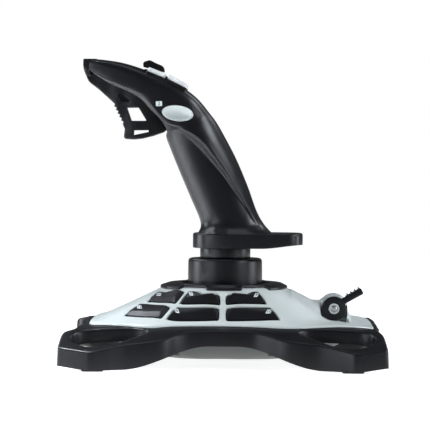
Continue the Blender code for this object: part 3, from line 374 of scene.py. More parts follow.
def settle(obj, angle):
    """Apply the modifiers of an object to its mesh."""
    bpy.context.view_layer.update()
    graph = bpy.context.evaluated_depsgraph_get()
    mesh = bpy.data.meshes.new_from_object(obj.evaluated_get(graph))
    obj.modifiers.clear()
    obj.data = mesh
    smooth_shaded(mesh, angle)


def carve(obj, cutters, angle):
    """Cut throw-away shapes out of an object."""
    for cutter in cutters:
        mod = obj.modifiers.new("carve", "BOOLEAN")
        mod.operation = "DIFFERENCE"
        mod.solver = "EXACT"
        mod.object = cutter
    settle(obj, angle)
    for cutter in cutters:
        bpy.data.objects.remove(cutter, do_unlink=True)


def bevel(obj, width, segments):
    mod = obj.modifiers.new("edge", "BEVEL")
    mod.width = width * MM
    mod.segments = segments
    mod.limit_method = "ANGLE"
    mod.angle_limit = math.radians(30.0)
    settle(obj, 50.0)


def finish_piece(obj, look, body, *replaced):
    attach(obj, body)
    if replaced:
        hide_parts(*replaced)


def piece(name, shape, look, body, *replaced, angle=35.0, edge=None):
    """Finished piece from a shape, with edges bevelled by (width, segments) if given."""
    obj = add_mesh(name, *shape, look, angle)
    if edge:
        bevel(obj, *edge)
    finish_piece(obj, look, body, *replaced)


# ---- curve helpers
def smoothstep(value):
    v = min(1.0, max(0.0, value))
    return v * v * (3 - 2 * v)


def angles(count, start=0.0):
    return [2 * math.pi * k / count + start for k in range(count)]


def circle(count, radius=1.0):
    return [(radius * math.cos(a), radius * math.sin(a)) for a in angles(count)]


def grid(step, across, along):
    """Square grid of plan points between whole-number limits."""
    return [(x * step, y * step) for x in range(*across) for y in range(*along)]


def spline_value(values, t):
    """Catmull-Rom value at parameter t (whole numbers hit the stations)."""
    last = len(values) - 1
    i = min(int(t), last - 1)
    f = t - i
    p1 = values[i]
    p2 = values[i + 1]
    p0 = values[i - 1] if i > 0 else 2 * p1 - p2
    p3 = values[i + 2] if i + 2 <= last else 2 * p2 - p1
    a = 2 * p1
    b = p2 - p0
    c = 2 * p0 - 5 * p1 + 4 * p2 - p3
    d = 3 * p1 - p0 - 3 * p2 + p3
    return 0.5 * (a + b * f + c * f * f + d * f * f * f)


def spline_row(rows, t):
    return tuple(spline_value(column, t) for column in zip(*rows))


def smooth_run(points, steps):
    """Points along a Catmull-Rom run through the given points."""
    plain = [point[:2] for point in points]
    return [spline_row(plain, i / steps) for i in range((len(points) - 1) * steps + 1)]


def mirrored_loop(half, steps):
    """Closed loop from a half outline."""
    runs = []
    start = 0
    for i, point in enumerate(half):
        hard = len(point) > 2
        if (hard and i > start) or i == len(half) - 1:
            runs.append(half[start:i + 1])
            start = i
    path = []
    for run in runs:
        line = smooth_run(run, steps) if len(run) > 2 else [run[0][:2], run[-1][:2]]
        path.extend(line if not path else line[1:])
    return path + [(-x, y) for x, y in reversed(path[1:-1])]


def corner(loop, i):
    """A loop's point, the ways to the points before and after it, and the turn in degrees."""
    p = Vector(loop[i])
    before = Vector(loop[i - 1]) - p
    after = Vector(loop[(i + 1) % len(loop)]) - p
    return p, before, after, math.degrees(math.pi - before.angle(after))


def rounded(points, radius, steps=5, sharp=20.0):
    """Closed outline with its corners turned into short curves."""
    path = []
    for i in range(len(points)):
        p, before, after, turn = corner(points, i)
        if turn < sharp:
            path.append(tuple(p))
            continue
        a = p + before.normalized() * min(radius, before.length * 0.45)
        b = p + after.normalized() * min(radius, after.length * 0.45)
        for k in range(steps + 1):
            t = k / steps
            path.append(tuple(a * (1 - t) ** 2 + p * (2 * t * (1 - t)) + b * t * t))
    return path


def eased_corners(loop, reach):
    """Dense closed loop with each hard corner replaced by a curve of a given reach."""
    hard = [i for i in range(len(loop)) if corner(loop, i)[3] > 18.0]
    path = []
    for i, point in enumerate(loop):
        p = Vector(point)
        if i in hard:
            a = along_loop(loop, i, reach, -1)
            b = along_loop(loop, i, reach, 1)
            path.extend(tuple(a * (1 - t) ** 2 + p * (2 * t * (1 - t)) + b * t ** 2)
                        for t in (k / 9 for k in range(10)))
        elif all((p - Vector(loop[j])).length > reach * 1.05 for j in hard):
            path.append(point)
    return path


def along_loop(loop, start, distance, step):
    """Point reached by walking a distance along a loop from one of its points."""
    i = start
    left = distance
    while True:
        p = Vector(loop[i % len(loop)])
        q = Vector(loop[(i + step) % len(loop)])
        if (q - p).length >= left:
            return p + (q - p).normalized() * left
        left -= (q - p).length
        i += step


def signed_area(loop):
    return 0.5 * sum(loop[i - 1][0] * loop[i][1] - loop[i][0] * loop[i - 1][1]
                     for i in range(len(loop)))


def offset_loop(loop, distance):
    """Loop moved towards its inside by a distance (outwards if negative)."""
    turn = 1.0 if signed_area(loop) > 0 else -1.0
    moved = []
    for i in range(len(loop)):
        p = Vector(loop[i])
        a = (p - Vector(loop[i - 1])).normalized()
        b = (Vector(loop[(i + 1) % len(loop)]) - p).normalized()
        na = Vector((-a.y, a.x))
        nb = Vector((-b.y, b.x))
        mid = (na + nb).normalized()
        scale = 1.0 / max(0.55, mid.dot(na))
        moved.append(tuple(p + mid * (turn * distance * scale)))
    return moved


def side_parts(loop, length):
    """Number of parts that cut each side of a loop to no more than a length."""
    return [max(1, math.ceil(math.hypot(x2 - x1, y2 - y1) / length))
            for (x1, y1), (x2, y2) in zip(loop[-1:] + loop[:-1], loop)]


def divided(loop, parts):
    """Loop with each side cut into its own number of parts."""
    path = []
    for i, (x2, y2) in enumerate(loop):
        x1, y1 = loop[i - 1]
        path.extend((x1 + (x2 - x1) * k / parts[i], y1 + (y2 - y1) * k / parts[i])
                    for k in range(1, parts[i] + 1))
    return path


def inside(point, loop):
    x, y = point
    hit = False
    x2, y2 = loop[-1]
    for x1, y1 in loop:
        if (y1 > y) != (y2 > y) and x < (x2 - x1) * (y - y1) / (y2 - y1) + x1:
            hit = not hit
        x2, y2 = x1, y1
    return hit


# ---- solid builders
def loft(rings):
    """Capped body through rings of equal length."""
    n = len(rings[0])
    verts = [p for ring in rings for p in ring]
    faces = []
    for k in range(len(rings) - 1):
        for i in range(n):
            j = (i + 1) % n
            faces.append((k * n + i, k * n + j, (k + 1) * n + j, (k + 1) * n + i))
    faces.append(tuple(reversed(range(n))))
    faces.append(tuple((len(rings) - 1) * n + i for i in range(n)))
    return verts, faces


def swept(rows):
    """Ring-shaped body through closed sections."""
    n = len(rows[0])
    faces = []
    for k in range(len(rows)):
        nxt = (k + 1) % len(rows)
        for i in range(n):
            j = (i + 1) % n
            faces.append((k * n + i, nxt * n + i, nxt * n + j, k * n + j))
    return [p for row in rows for p in row], faces


def lathe(profile, segments):
    """Closed ring of revolution about the vertical axis."""
    return swept([[(r * c, r * s, z) for r, z in profile] for c, s in circle(segments)])


def side_prism(outline, x_low, x_high):
    return loft([[(x, y, z) for y, z in outline] for x in (x_low, x_high)])


def block(low, high):
    ring = [(low[0], low[1]), (high[0], low[1]), (high[0], high[1]), (low[0], high[1])]
    return loft([[(x, y, z) for x, y in ring] for z in (low[2], high[2])])


def disc_x(centre, radius, length):
    x, y, z = centre
    return loft([[(x + end * length, y + c, z + s) for c, s in circle(48, radius)]
                 for end in (-0.5, 0.5)])


def disc_z(centre, radius, length):
    x, y, z = centre
    return loft([[(x + c, y + s, z + end * length) for c, s in circle(40, radius)]
                 for end in (-0.5, 0.5)])


def placed(shape, matrix):
    return [tuple(matrix @ Vector(v)) for v in shape[0]], shape[1]


def triangulated(points, edges):
    """Plane points and triangles with the given edges kept."""
    result = geometry.delaunay_2d_cdt([Vector(p) for p in points], edges, [], 1, 1e-5)
    return [(v.x, v.y) for v in result[0]], [tuple(face) for face in result[2]]


def loop_edges(loop, first=0):
    return [(first + i, first + (i + 1) % len(loop)) for i in range(len(loop))]


def plan_patch(loop, spacing):
    """Triangles that fill a plan loop, with inner points on a square grid."""
    xs, ys = zip(*loop)
    inner = offset_loop(loop, spacing * 0.5)
    spots = [(min(xs) + i * spacing, min(ys) + j * spacing)
             for i in range(int((max(xs) - min(xs)) / spacing) + 1)
             for j in range(int((max(ys) - min(ys)) / spacing) + 1)]
    return triangulated(loop + [p for p in spots if inside(p, inner)], loop_edges(loop))


def dressed_plan(outer, holes, fill, top, bottom, outer_round, hole_round, both=False,
                 draft=0.0):
    """Plan solid whose upper edges (or both edges) roll over near each outline."""
    loops = []
    drops = {}

    def spot(point):
        return round(point[0], 3), round(point[1], 3)

    def note(loop, drop):
        loops.append(loop)
        drops.update((spot(point), drop) for point in loop)

    for share in (0.0, 0.1, 0.3, 0.6, 1.0):
        dip = 1 - math.sqrt(1 - (1 - share) ** 2)
        note(offset_loop(outer, draft + outer_round * share), outer_round * dip)
        for hole in holes:
            note(offset_loop(hole, -hole_round * share), hole_round * dip)
    edge, *bores = loops[-1 - len(holes):]
    points = []
    edges = []
    for loop in loops:
        edges += loop_edges(loop, len(points))
        points += loop
    points += [p for p in fill if inside(p, edge) and not any(inside(p, b) for b in bores)]
    flat, tris = triangulated(points, edges)
    kept = []
    for face in tris:
        mid = [sum(flat[i][axis] for i in face) / 3 for axis in (0, 1)]
        if inside(mid, loops[0]) and not any(inside(mid, hole) for hole in holes):
            kept.append(face)
    foot = {spot(point): below for point, below in zip(loops[0], outer)}
    falls = [drops.get(spot(point), 0.0) for point in flat]
    verts = [(x, y, top(x, y) - fall) for (x, y), fall in zip(flat, falls)]
    for point, fall in zip(flat, falls):
        x, y = foot.get(spot(point), point)
        verts.append((x, y, bottom(x, y) + (fall if both else 0.0)))
    sides = {}
    for face in kept:
        for a, b in zip(face, face[1:] + face[:1]):
            if (b, a) in sides:
                del sides[(b, a)]
            else:
                sides[(a, b)] = True
    count = len(flat)
    faces = kept + [tuple(i + count for i in reversed(face)) for face in kept]
    faces += [(b, a, a + count, b + count) for a, b in sides]
    return verts, faces


def side_plan(outline, holes, fill, half_width, outer_round, hole_round):
    """Body across the middle plane from a side view (y, z), rolled over on both flanks."""
    flat, faces = dressed_plan(outline, holes, fill, half_width,
                               lambda y, z: -half_width(y, z), outer_round, hole_round, True)
    return [(x, y, z) for y, z, x in flat], faces


# ---- base surfaces
def polar_table(loop):
    """Distance from the axis to a star-shaped loop for evenly spaced angles."""
    marks = sorted((math.atan2(y, x), math.hypot(x, y)) for x, y in loop)
    marks = [(marks[-1][0] - 2 * math.pi, marks[-1][1])] + marks
    marks.append((marks[1][0] + 2 * math.pi, marks[1][1]))
    table = []
    i = 0
    for ang in angles(1440, -math.pi):
        while marks[i + 1][0] < ang:
            i += 1
        p, q = (Vector((r * math.cos(a), r * math.sin(a))) for a, r in marks[i:i + 2])
        way = Vector((math.cos(ang), math.sin(ang)))
        side = q - p
        table.append((p.x * side.y - p.y * side.x) / (way.x * side.y - way.y * side.x))
    return table


RIM_TABLE = polar_table(mirrored_loop(RIM_HALF, 8))


def rim_radius(angle):
    pos = (angle + math.pi) / (2 * math.pi) * len(RIM_TABLE)
    i = int(pos) % len(RIM_TABLE)
    f = pos - int(pos)
    return RIM_TABLE[i] * (1 - f) + RIM_TABLE[(i + 1) % len(RIM_TABLE)] * f


def roof(x, y):
    """Upper surface of the black frame."""
    past = max(0.0, abs(x) - ROOF_X)
    level = ROOF_Z - REAR_DIP * smoothstep((-y - 60) / 45) * max(0.0, 1 - abs(x) / 60)
    level -= FRONT_DIP * smoothstep((y - 80) / 22) * (1 - smoothstep((abs(x) - 55) / 20))
    level -= REAR_DIP * smoothstep((-y - 80) / 25) * (1 - smoothstep((abs(x) - 48) / 20))
    if past < ROOF_BEND:
        return level - ROOF_SLOPE * past * past / (2 * ROOF_BEND)
    return level - ROOF_SLOPE * (past - ROOF_BEND / 2)


def underside(x, y):
    """Lower surface of the black frame: arched over the waist."""
    arch = UNDER_Z + (WAIST_UNDER_Z - UNDER_Z) * smoothstep((70 - abs(y)) / 60)
    inward = UNDER_Z + INWARD_RISE * max(0.0, 86 - abs(x))
    rise = END_RISE * smoothstep((abs(y) - 93) / 22)
    return min(max(arch, inward) + rise, roof(x, y) - 9.5)


def dome_radius(angle, t):
    """Distance from the axis at dome parameter t: 0 at the ring, 1 where the rim begins."""
    rear = max(0.0, -math.sin(angle)) ** 3
    rim = rim_radius(angle) - 1.0
    reach = rim * (1 - rear) + min(rim, DOME_REAR_R) * rear
    return RING_R + t * (reach - RING_R)


def dome(x, y):
    """Upper surface of the silver shell."""
    span = dome_radius(math.atan2(y, x), 1.0) - RING_R
    z = DOME_TOP - DOME_DROP * max((math.hypot(x, y) - RING_R) / span, 0.0)
    edge = roof(x, y) + 1.4
    blend = z - edge
    if blend > 3:
        return z
    if blend < -3:
        return edge
    return edge + (blend + 3) ** 2 / 12


def dome_normal(x, y):
    e = 0.4
    gx = (dome(x + e, y) - dome(x - e, y)) / (2 * e)
    gy = (dome(x, y + e) - dome(x, y - e)) / (2 * e)
    return Vector((-gx, -gy, 1.0)).normalized()


def spine_crest(y):
    """Height of the silver spine that carries the throttle."""
    d = y - THROTTLE_Y
    line = 53.6 - 0.505 * (-46.0 - y) if y > -63 else 45.0
    if y < -88.5:
        line = 34.2 - 0.38 * (-88.5 - y)
    if abs(d) < HUMP_R:
        return max(line if y > -88.5 else 0, THROTTLE_Z + math.sqrt(HUMP_R ** 2 - d * d))
    return line


def deck(x, y):
    """Silver shell with the spine blended into it."""
    base = dome(x, y)
    if y > -45 or abs(x) > 40:
        return base
    near_hub = smoothstep((9.9 - abs(y - THROTTLE_Y)) / 1.2)
    width = 15.0 * (1 - near_hub) + HOUSING_HALF_W * near_hub
    power = 3.0 * (1 - near_hub) + 40.0 * near_hub
    share = 1 / (1 + min(50.0, abs(x) / width) ** power)
    share *= smoothstep((-44.5 - y) / 4.0) * (1 - smoothstep((abs(x) - 30) / 10))
    crest = spine_crest(y) * 0.5 + 0.25 * (spine_crest(y - 1.5) + spine_crest(y + 1.5))
    return base + max(0.0, crest - base) * share


def deck_xy(y, t):
    """Plan point on the player's left at width y and dome parameter t."""
    low = math.pi / 2 + 0.02
    high = 3 * math.pi / 2 - 0.02
    for _ in range(40):
        mid = (low + high) / 2
        r = dome_radius(math.atan2(math.sin(mid), math.cos(mid)), t)
        if r * math.sin(mid) > y:
            low = mid
        else:
            high = mid
    return r * math.cos(mid), y


def teardrop(sign_x, sign_y):
    """Grip hole through a lobe: wide outer end, pointed inner end."""
    pts = []
    for a in angles(96):
        f = 0.5 - 0.5 * math.cos(a)
        y = HOLE_INNER_Y + (HOLE_OUTER_Y - HOLE_INNER_Y) * (1 - f)
        wide = HOLE_HALF_W * math.sin(a) * (0.45 + 0.75 * (1 - f) ** 0.8)
        centre = HOLE_X - 6.5 + 8.5 * smoothstep(1.5 * (1 - f))
        pts.append((sign_x * (centre + wide), sign_y * y))
    return pts


def ring_points(scale, steps):
    """Loop that follows the rim of the silver shell at a scale."""
    return [(rim_radius(a) * scale * math.cos(a), rim_radius(a) * scale * math.sin(a))
            for a in angles(steps, -math.pi)]


# ---- base pieces
def build_frame():
    outer = eased_corners(mirrored_loop(FRAME_HALF, 8), 3.2)
    holes = [ring_points(OPENING_SCALE, 240)]
    holes += [teardrop(sx, sy) for sx in (-1, 1) for sy in (-1, 1)]
    shape = dressed_plan(outer, holes, grid(4.0, (-25, 26), (-29, 30)), roof, underside,
                         1.2, 2.2, draft=0.5)
    piece("frame_body", shape, "frame_black", "base", "base_frame")
    lip = add_mesh("rear_lip", *block((-17, -1.9, -1.2), (17, 1.9, 1.3)), "frame_black")
    bevel(lip, 0.7, 3)
    lip.matrix_world = Matrix.Translation((0, -107.4 * MM, 25.9 * MM)) @ Matrix.Rotation(
        math.radians(-12.0), 4, "X")
    finish_piece(lip, "frame_black", "base")


def pad_corners(name):
    return [deck_xy(y, t) for y, t in PADS[name]]


def pad_middle(name):
    corners = pad_corners(name)
    return [sum(axis) / len(corners) for axis in zip(*corners)]


def moved_outline(name, shift, radius):
    """Button outline with each side moved out by shift(nx, ny) and rounded corners."""
    corners = pad_corners(name)
    turn = 1 if signed_area(corners) > 0 else -1
    lines = []
    for i, (x2, y2) in enumerate(corners):
        x1, y1 = corners[i - 1]
        size = math.hypot(x2 - x1, y2 - y1)
        nx = turn * (y2 - y1) / size
        ny = -turn * (x2 - x1) / size
        lines.append((nx, ny, nx * x1 + ny * y1 + shift(nx, ny)))
    moved = []
    for (a1, b1, c1), (a2, b2, c2) in zip(lines, lines[1:] + lines[:1]):
        det = a1 * b2 - a2 * b1
        moved.append(((c1 * b2 - c2 * b1) / det, (a1 * c2 - a2 * c1) / det))
    return rounded(moved, radius, 5, 5.0)


def build_deck():
    holes = [circle(96, 38)]
    for name in PADS:
        outline = moved_outline(name, lambda nx, ny: PAD_GAP, 1.6)
        holes.append(divided(outline, side_parts(outline, 2.5)))
    fill = []
    for a in angles(180, -math.pi):
        for i in range(26):
            r = 41.5 + i * 2.4
            if r < rim_radius(a) - 1.8:
                fill.append((r * math.cos(a), r * math.sin(a)))
    fill = [p for p in fill if p[1] > -45 or abs(p[0]) > 31]
    fill += [(x * 0.8, -46 - y * 0.9) for x in range(-38, 39) for y in range(66)]
    shape = dressed_plan(ring_points(1.0, 320), holes, fill, deck,
                         lambda x, y: max(roof(x, y) + 0.3, dome(x, y) - 3.4), 1.0, 0.45)
    piece("deck_shell", shape, "shell_silver", "base", "top_shell", "throttle_housing", angle=60.0)


def build_keys():
    """Base buttons: rounded caps with a wide chamfer on the downhill side."""
    for name in PADS:
        middle = pad_middle(name)
        axis = dome_normal(*middle)
        down = Vector((axis.x, axis.y)).normalized()
        outward = math.copysign(1.0, middle[1])

        def outline(amount, slope_amount, radius):
            def shift(nx, ny):
                facing = max(0.0, nx * down.x + ny * down.y) ** 2
                rearward = max(0.0, -ny * outward) ** 4
                return -(amount + slope_amount * max(facing, rearward))
            return moved_outline(name, shift, radius)

        parts = side_parts(outline(0.0, 0.0, 1.2), 2.0)
        rings = []
        for amount, slope_amount, height, radius in PAD_LEVELS:
            flat = divided(outline(amount, slope_amount, radius), parts)
            rings.append([tuple(Vector((x, y, dome(x, y))) + axis * height) for x, y in flat])
        verts, faces = loft(rings)
        faces.pop()
        patch, tris = plan_patch(flat, 2.0)
        faces += [tuple(i + len(verts) for i in face) for face in tris]
        verts += [tuple(Vector((x, y, dome(x, y))) + axis * PAD_PROUD) for x, y in patch]
        piece(name + "_cap", (verts, faces), "satin_black", name + "_key", name, angle=28.0)


# ---- markings
def tag_frame(origin, normal, up):
    across = up.cross(normal).normalized()
    lift = normal.cross(across).normalized()
    turn = Matrix((across, lift, normal)).transposed().to_4x4()
    turn.translation = origin
    return turn


def digit_mesh(text, size):
    """Points and faces of a short extruded text, centred on the origin."""
    curve = bpy.data.curves.new("digits", "FONT")
    curve.body = text
    curve.size = size
    curve.align_x = "CENTER"
    curve.align_y = "CENTER"
    curve.extrude = 0.05
    curve.offset = 0.02
    source = linked("digits_source", curve)
    bpy.context.view_layer.update()
    mesh = source.to_mesh()
    verts = [tuple(v.co) for v in mesh.vertices]
    faces = [tuple(p.vertices) for p in mesh.polygons]
    source.to_mesh_clear()
    bpy.data.objects.remove(source, do_unlink=True)
    return verts, faces


def add_tag(name, text, place, width, height, body, lean=0.0):
    """Small printed plate with a number on it; place(x, y, h) maps it onto a surface."""
    half_w = width / 2
    half_h = height / 2
    corners = [(-half_w - lean, -half_h), (half_w - lean, -half_h), (half_w + lean, half_h),
               (-half_w + lean, half_h)]
    outline = rounded(corners, 0.6, 4)
    plate = loft([[place(x, y, h) for x, y in outline] for h in (-0.25, 0.06)])
    piece(name + "_tag", plate, "marking", body)
    verts, faces = digit_mesh(text, height * 0.98)
    verts = [place(x * 0.9 + y * lean / half_h, y, h + 0.06) for x, y, h in verts]
    piece(name + "_digits", (verts, faces), "ink", body)


def build_tags():
    for name, (y, t, lean) in TAGS.items():
        x, _ = deck_xy(y, t)
        axis = dome_normal(*pad_middle(name))
        turn = tag_frame(Vector((x, y, dome(x, y))), axis, Vector((0, 0, 1)))

        def on_key(u, v, h):
            spot = turn @ Vector((u, v, 0))
            spot.z = dome(spot.x, spot.y)
            return tuple(spot + axis * (PAD_PROUD + 0.04 + h))

        number = name.rsplit("_", 1)[1]
        add_tag(name, number, on_key, 2.6 if len(number) == 1 else 3.6, 4.2, name + "_key", lean)


# ---- ring, collar, pan, feet
def ring_reach(angle):
    """Dome parameter of the ring's outer edge: short where a silver tongue runs in."""
    off_axis = math.degrees(math.asin(min(1.0, abs(math.sin(angle)))))
    tongue = smoothstep((off_axis - TONGUE_FROM) / TONGUE_EDGE)
    tongue *= 1 - smoothstep((off_axis - TONGUE_TO + TONGUE_EDGE) / TONGUE_EDGE)
    return 0.09 - 0.078 * tongue


def build_ring():
    rows = []
    for a in angles(600, -math.pi):
        out = dome_radius(a, ring_reach(a))
        cx = math.cos(a)
        cy = math.sin(a)
        low = dome(out * cx, out * cy)
        profile = ((RING_BORE, RING_FOOT), (RING_BORE, RING_TOP - 0.9),
                   (RING_BORE + 0.3, RING_TOP - 0.25), (RING_BORE + 1.0, RING_TOP),
                   (39.8, RING_TOP), (40.8, RING_TOP - 0.12),
                   (out - 0.7, low + 2.35), (out - 0.15, low + 2.0), (out, low + 1.5),
                   (out, low + 0.35), (out - 0.5, low + 0.15),
                   (41.0, DOME_TOP + 0.2), (37.2, DOME_TOP + 0.2), (37.2, RING_FOOT))
        rows.append([(r * cx, r * cy, z) for r, z in profile])
    piece("bezel_ring", swept(rows), "frame_black", "base", "ring_bezel", angle=32.0)


def build_collar():
    skirt = [(24.4, COLLAR_BOTTOM), (COLLAR_R, COLLAR_BOTTOM), (COLLAR_R - 0.35, COLLAR_TOP),
             (6.2, COLLAR_TOP), (6.2, 72.5), (24.4, 72.5)]
    piece("collar_cup", lathe(rounded(skirt, 2.6, 8, 60.0), 160), "frame_black", "stick", "collar",
          angle=40.0)
    ring = [(4.0, 66.0), (5.8, 66.0), (5.8, 75.3), (NECK_R, 75.3), (NECK_R, 82.3), (4.0, 82.3)]
    piece("neck_disc", lathe(rounded(ring, 0.5, 3, 60.0), 120), "frame_black", "grip", "neck",
          angle=40.0)


def build_pan():
    rows = 26
    shares = [(k + 1) / rows for k in range(rows)]
    rings = [[(x, y, PAN_FLOOR_Z + PAN_RISE * t ** 3 + lift)
              for x, y in ring_points(PAN_SCALE * t, 180)]
             for lift, way in ((0.0, shares), (PAN_WALL, shares[::-1])) for t in way]
    pan = add_mesh("pan_shell", *loft(rings), "pan_grey", 40.0)
    wells = [disc_z((sx * WELL_X, sy * WELL_Y, 8), WELL_R, 20)
             for sx in (-1, 1) for sy in (-1, 1)]
    carve(pan, [add_mesh("well", *well, "pan_grey") for well in wells], 40.0)
    finish_piece(pan, "pan_grey", "base", "bottom_pan")


def build_feet():
    for node in ("foot_front_left", "foot_rear_left", "foot_front_right", "foot_rear_right"):
        low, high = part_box(node)
        centre = (low + high) / (2 * MM)
        half_w = (high.x - low.x) / (2 * MM)
        straight = (high.y - low.y) / (2 * MM) - half_w
        rings = []
        for shrink, z in ((0.5, 0.0), (0.15, 0.12), (0.0, 0.5), (0.0, 2.25)):
            rings.append([(centre.x + c, centre.y + s + (straight if s > 0 else -straight), z)
                          for c, s in circle(48, half_w - shrink)])
        piece(node + "_pad", loft(rings), "rubber", "base", node, angle=50.0)


# ---- throttle
def build_throttle():
    inner_x = -HOUSING_HALF_W - 0.6
    lean = math.radians(LEVER_ANGLE)
    along = Vector((-math.cos(lean), math.sin(lean)))
    across = Vector((math.sin(lean), math.cos(lean)))
    centre = Vector((THROTTLE_Y, THROTTLE_Z))

    def arm_line(corners):
        """Side view points from (distance out, height over the arm's middle line)."""
        return [tuple(centre + along * far + across * (ARM_LIFT + high)) for far, high in corners]

    start = math.asin((ARM_HALF - ARM_LIFT) / HUB_R)
    stop = math.asin((ARM_HALF + ARM_LIFT) / HUB_R)
    sweep = 2 * math.pi - start - stop
    disc = [tuple(centre + along * (HUB_R * math.cos(a)) + across * (HUB_R * math.sin(a)))
            for a in (stop + sweep * k / 90 for k in range(91))]
    tip = arm_line(((LEVER_R - 0.6, -ARM_HALF), (LEVER_R, -ARM_HALF + 0.6),
                    (LEVER_R, ARM_HALF - 0.6), (LEVER_R - 0.6, ARM_HALF)))
    hub = add_mesh("throttle_arm", *side_prism(disc + tip, ARM_X, inner_x), "satin_black")
    bevel(hub, 0.5, 3)
    seat = disc_x((ARM_X - 1.5, THROTTLE_Y, THROTTLE_Z), 4.3, 5.0)
    carve(hub, [add_mesh("seat", *seat, "satin_black")], 40.0)
    finish_piece(hub, "satin_black", "throttle", "throttle_lever")
    root = HUMP_R + 1.0
    paddle = arm_line(((root, -ARM_HALF + 0.3), (LEVER_R - 0.3, -ARM_HALF + 0.3),
                       (LEVER_R - 0.3, ARM_HALF - 0.9), (root, ARM_HALF - 0.9)))
    piece("throttle_paddle", side_prism(paddle, inner_x - 1.5, 11.0), "satin_black", "throttle",
          edge=(0.5, 3))
    for k in range(4):
        far = root + 2.0 + k * 3.1
        rib = arm_line(((far - 0.75, ARM_HALF - 1.4), (far + 0.75, ARM_HALF - 1.4),
                        (far + 0.45, ARM_HALF + 0.1), (far - 0.45, ARM_HALF + 0.1)))
        piece(f"throttle_rib_{k + 1}", side_prism(rib, ARM_X + 1.0, 10.4), "satin_black",
              "throttle", edge=(0.25, 2))
    piece("throttle_stub", disc_x((inner_x + 1.2, THROTTLE_Y, THROTTLE_Z), 2.0, 5.0),
          "satin_black", "throttle", angle=40.0)
    rim = [(2.5, ARM_X + 0.7), (2.5, ARM_X + 0.1), (2.9, ARM_X - 0.15), (3.5, ARM_X - 0.15),
           (3.85, ARM_X + 0.2), (3.85, ARM_X + 0.7)]
    verts, faces = lathe(rim, 64)
    verts = [(x, THROTTLE_Y + y, THROTTLE_Z + z) for y, z, x in verts]
    piece("throttle_washer", (verts, faces), "button_silver", "throttle", angle=50.0)
    head = ((0.02, -0.25), (1.2, -0.2), (2.0, 0.02), (2.35, 0.4), (2.35, 0.7))
    rings = [[(ARM_X + x, THROTTLE_Y + c, THROTTLE_Z + s) for c, s in circle(48, r)]
             for r, x in head]
    screw = add_mesh("throttle_screw_head", *loft(rings), "steel", 50.0)
    cross = []
    for half_y, half_z in ((1.35, 0.3), (0.3, 1.35)):
        low = (ARM_X - 2.0, THROTTLE_Y - half_y, THROTTLE_Z - half_z)
        high = (ARM_X + 0.3, THROTTLE_Y + half_y, THROTTLE_Z + half_z)
        cross.append(add_mesh("slot", *block(low, high), "steel"))
    carve(screw, cross, 50.0)
    finish_piece(screw, "steel", "throttle", "throttle_screw")


# ---- grip
CREASE_LINE = [spline_row(CREASE, k / 6) for k in range(6 * (len(CREASE) - 1) + 1)]


@functools.lru_cache(maxsize=None)
def crease_step(y, z):
    """Outward offset of the grip's side at (y, z) beside the crease."""
    best = None
    for first, second in zip(CREASE_LINE, CREASE_LINE[1:]):
        way_y = second[0] - first[0]
        way_z = second[1] - first[1]
        length = math.hypot(way_y, way_z)
        share = ((y - first[0]) * way_y + (z - first[1]) * way_z) / length ** 2
        held = min(1.0, max(0.0, share))
        off = math.hypot(y - first[0] - way_y * held, z - first[1] - way_z * held)
        if best is None or off < best[0]:
            side = (z - first[1]) * way_y - (y - first[0]) * way_z
            best = (off, side, first[2] + (second[2] - first[2]) * held,
                    first[3] + (second[3] - first[3]) * held)
    off, side, flank, height = best
    height *= CREASE_DEPTH
    if side < 0:
        return -0.4 * height
    steep = smoothstep((flank - 3.0) / 4.0)
    rise = smoothstep((off - 0.05 * flank) / ((0.85 - 0.40 * steep) * flank))
    fade = 1 - smoothstep((off - (1 - 0.5 * steep) * flank) / (4.0 + 1.5 * max(0.0, flank - 2.4)))
    return height * (1.25 * rise - 0.4) * fade


def flange_half(y):
    """Half width of the hand rest at y."""
    for (x0, y0), (x1, y1) in zip(REST_HALF, REST_HALF[1:]):
        if y <= y1:
            return x0 + (x1 - x0) * (y - y0) / (y1 - y0)
    return 0.0


def section_power(s):
    """Exponent of the section curve: squarer shoulders under the head keys."""
    return 0.88 - 0.26 * smoothstep((s - 6.5) / 1.8) - 0.14 * smoothstep((s - 11.0) / 3.5)


def grip_point(s, theta, inset, side):
    """Skin point at station s; theta runs from the rear edge down the side to the lip."""
    ry, rz, fy, fz, half_w, opening = spline_row(GRIP, s)
    rear = Vector((ry, rz))
    lip = Vector((fy, fz))
    span = (lip - rear).length
    power = section_power(s)
    half_d = span / (1 + math.cos(max(0.0, opening)) ** power)
    way = (rear - lip) / span
    centre = rear - way * half_d
    c = math.cos(theta)
    cd = math.copysign(abs(c) ** power, c)
    wd = abs(math.sin(theta)) ** power
    width = (half_w - inset) * wd
    pos = centre + way * ((half_d - inset) * cd)
    if inset < GRIP_WALL / 2:
        width += crease_step(round(pos.x, 4), round(pos.y, 4)) * wd
        skirt = (1 - smoothstep((pos.x - 5.0) / 8.0)) * smoothstep((pos.x + 40.0) / 8.0)
        if pos.y < 104.0 and skirt > 0:
            flare = max(0.0, 1 - max(0.0, pos.y - 91.9) / 9.0) ** 2.6
            width += max(0.0, flange_half(pos.x) - width) * flare * skirt
    return (side * max(0.06, width), pos.x, pos.y)


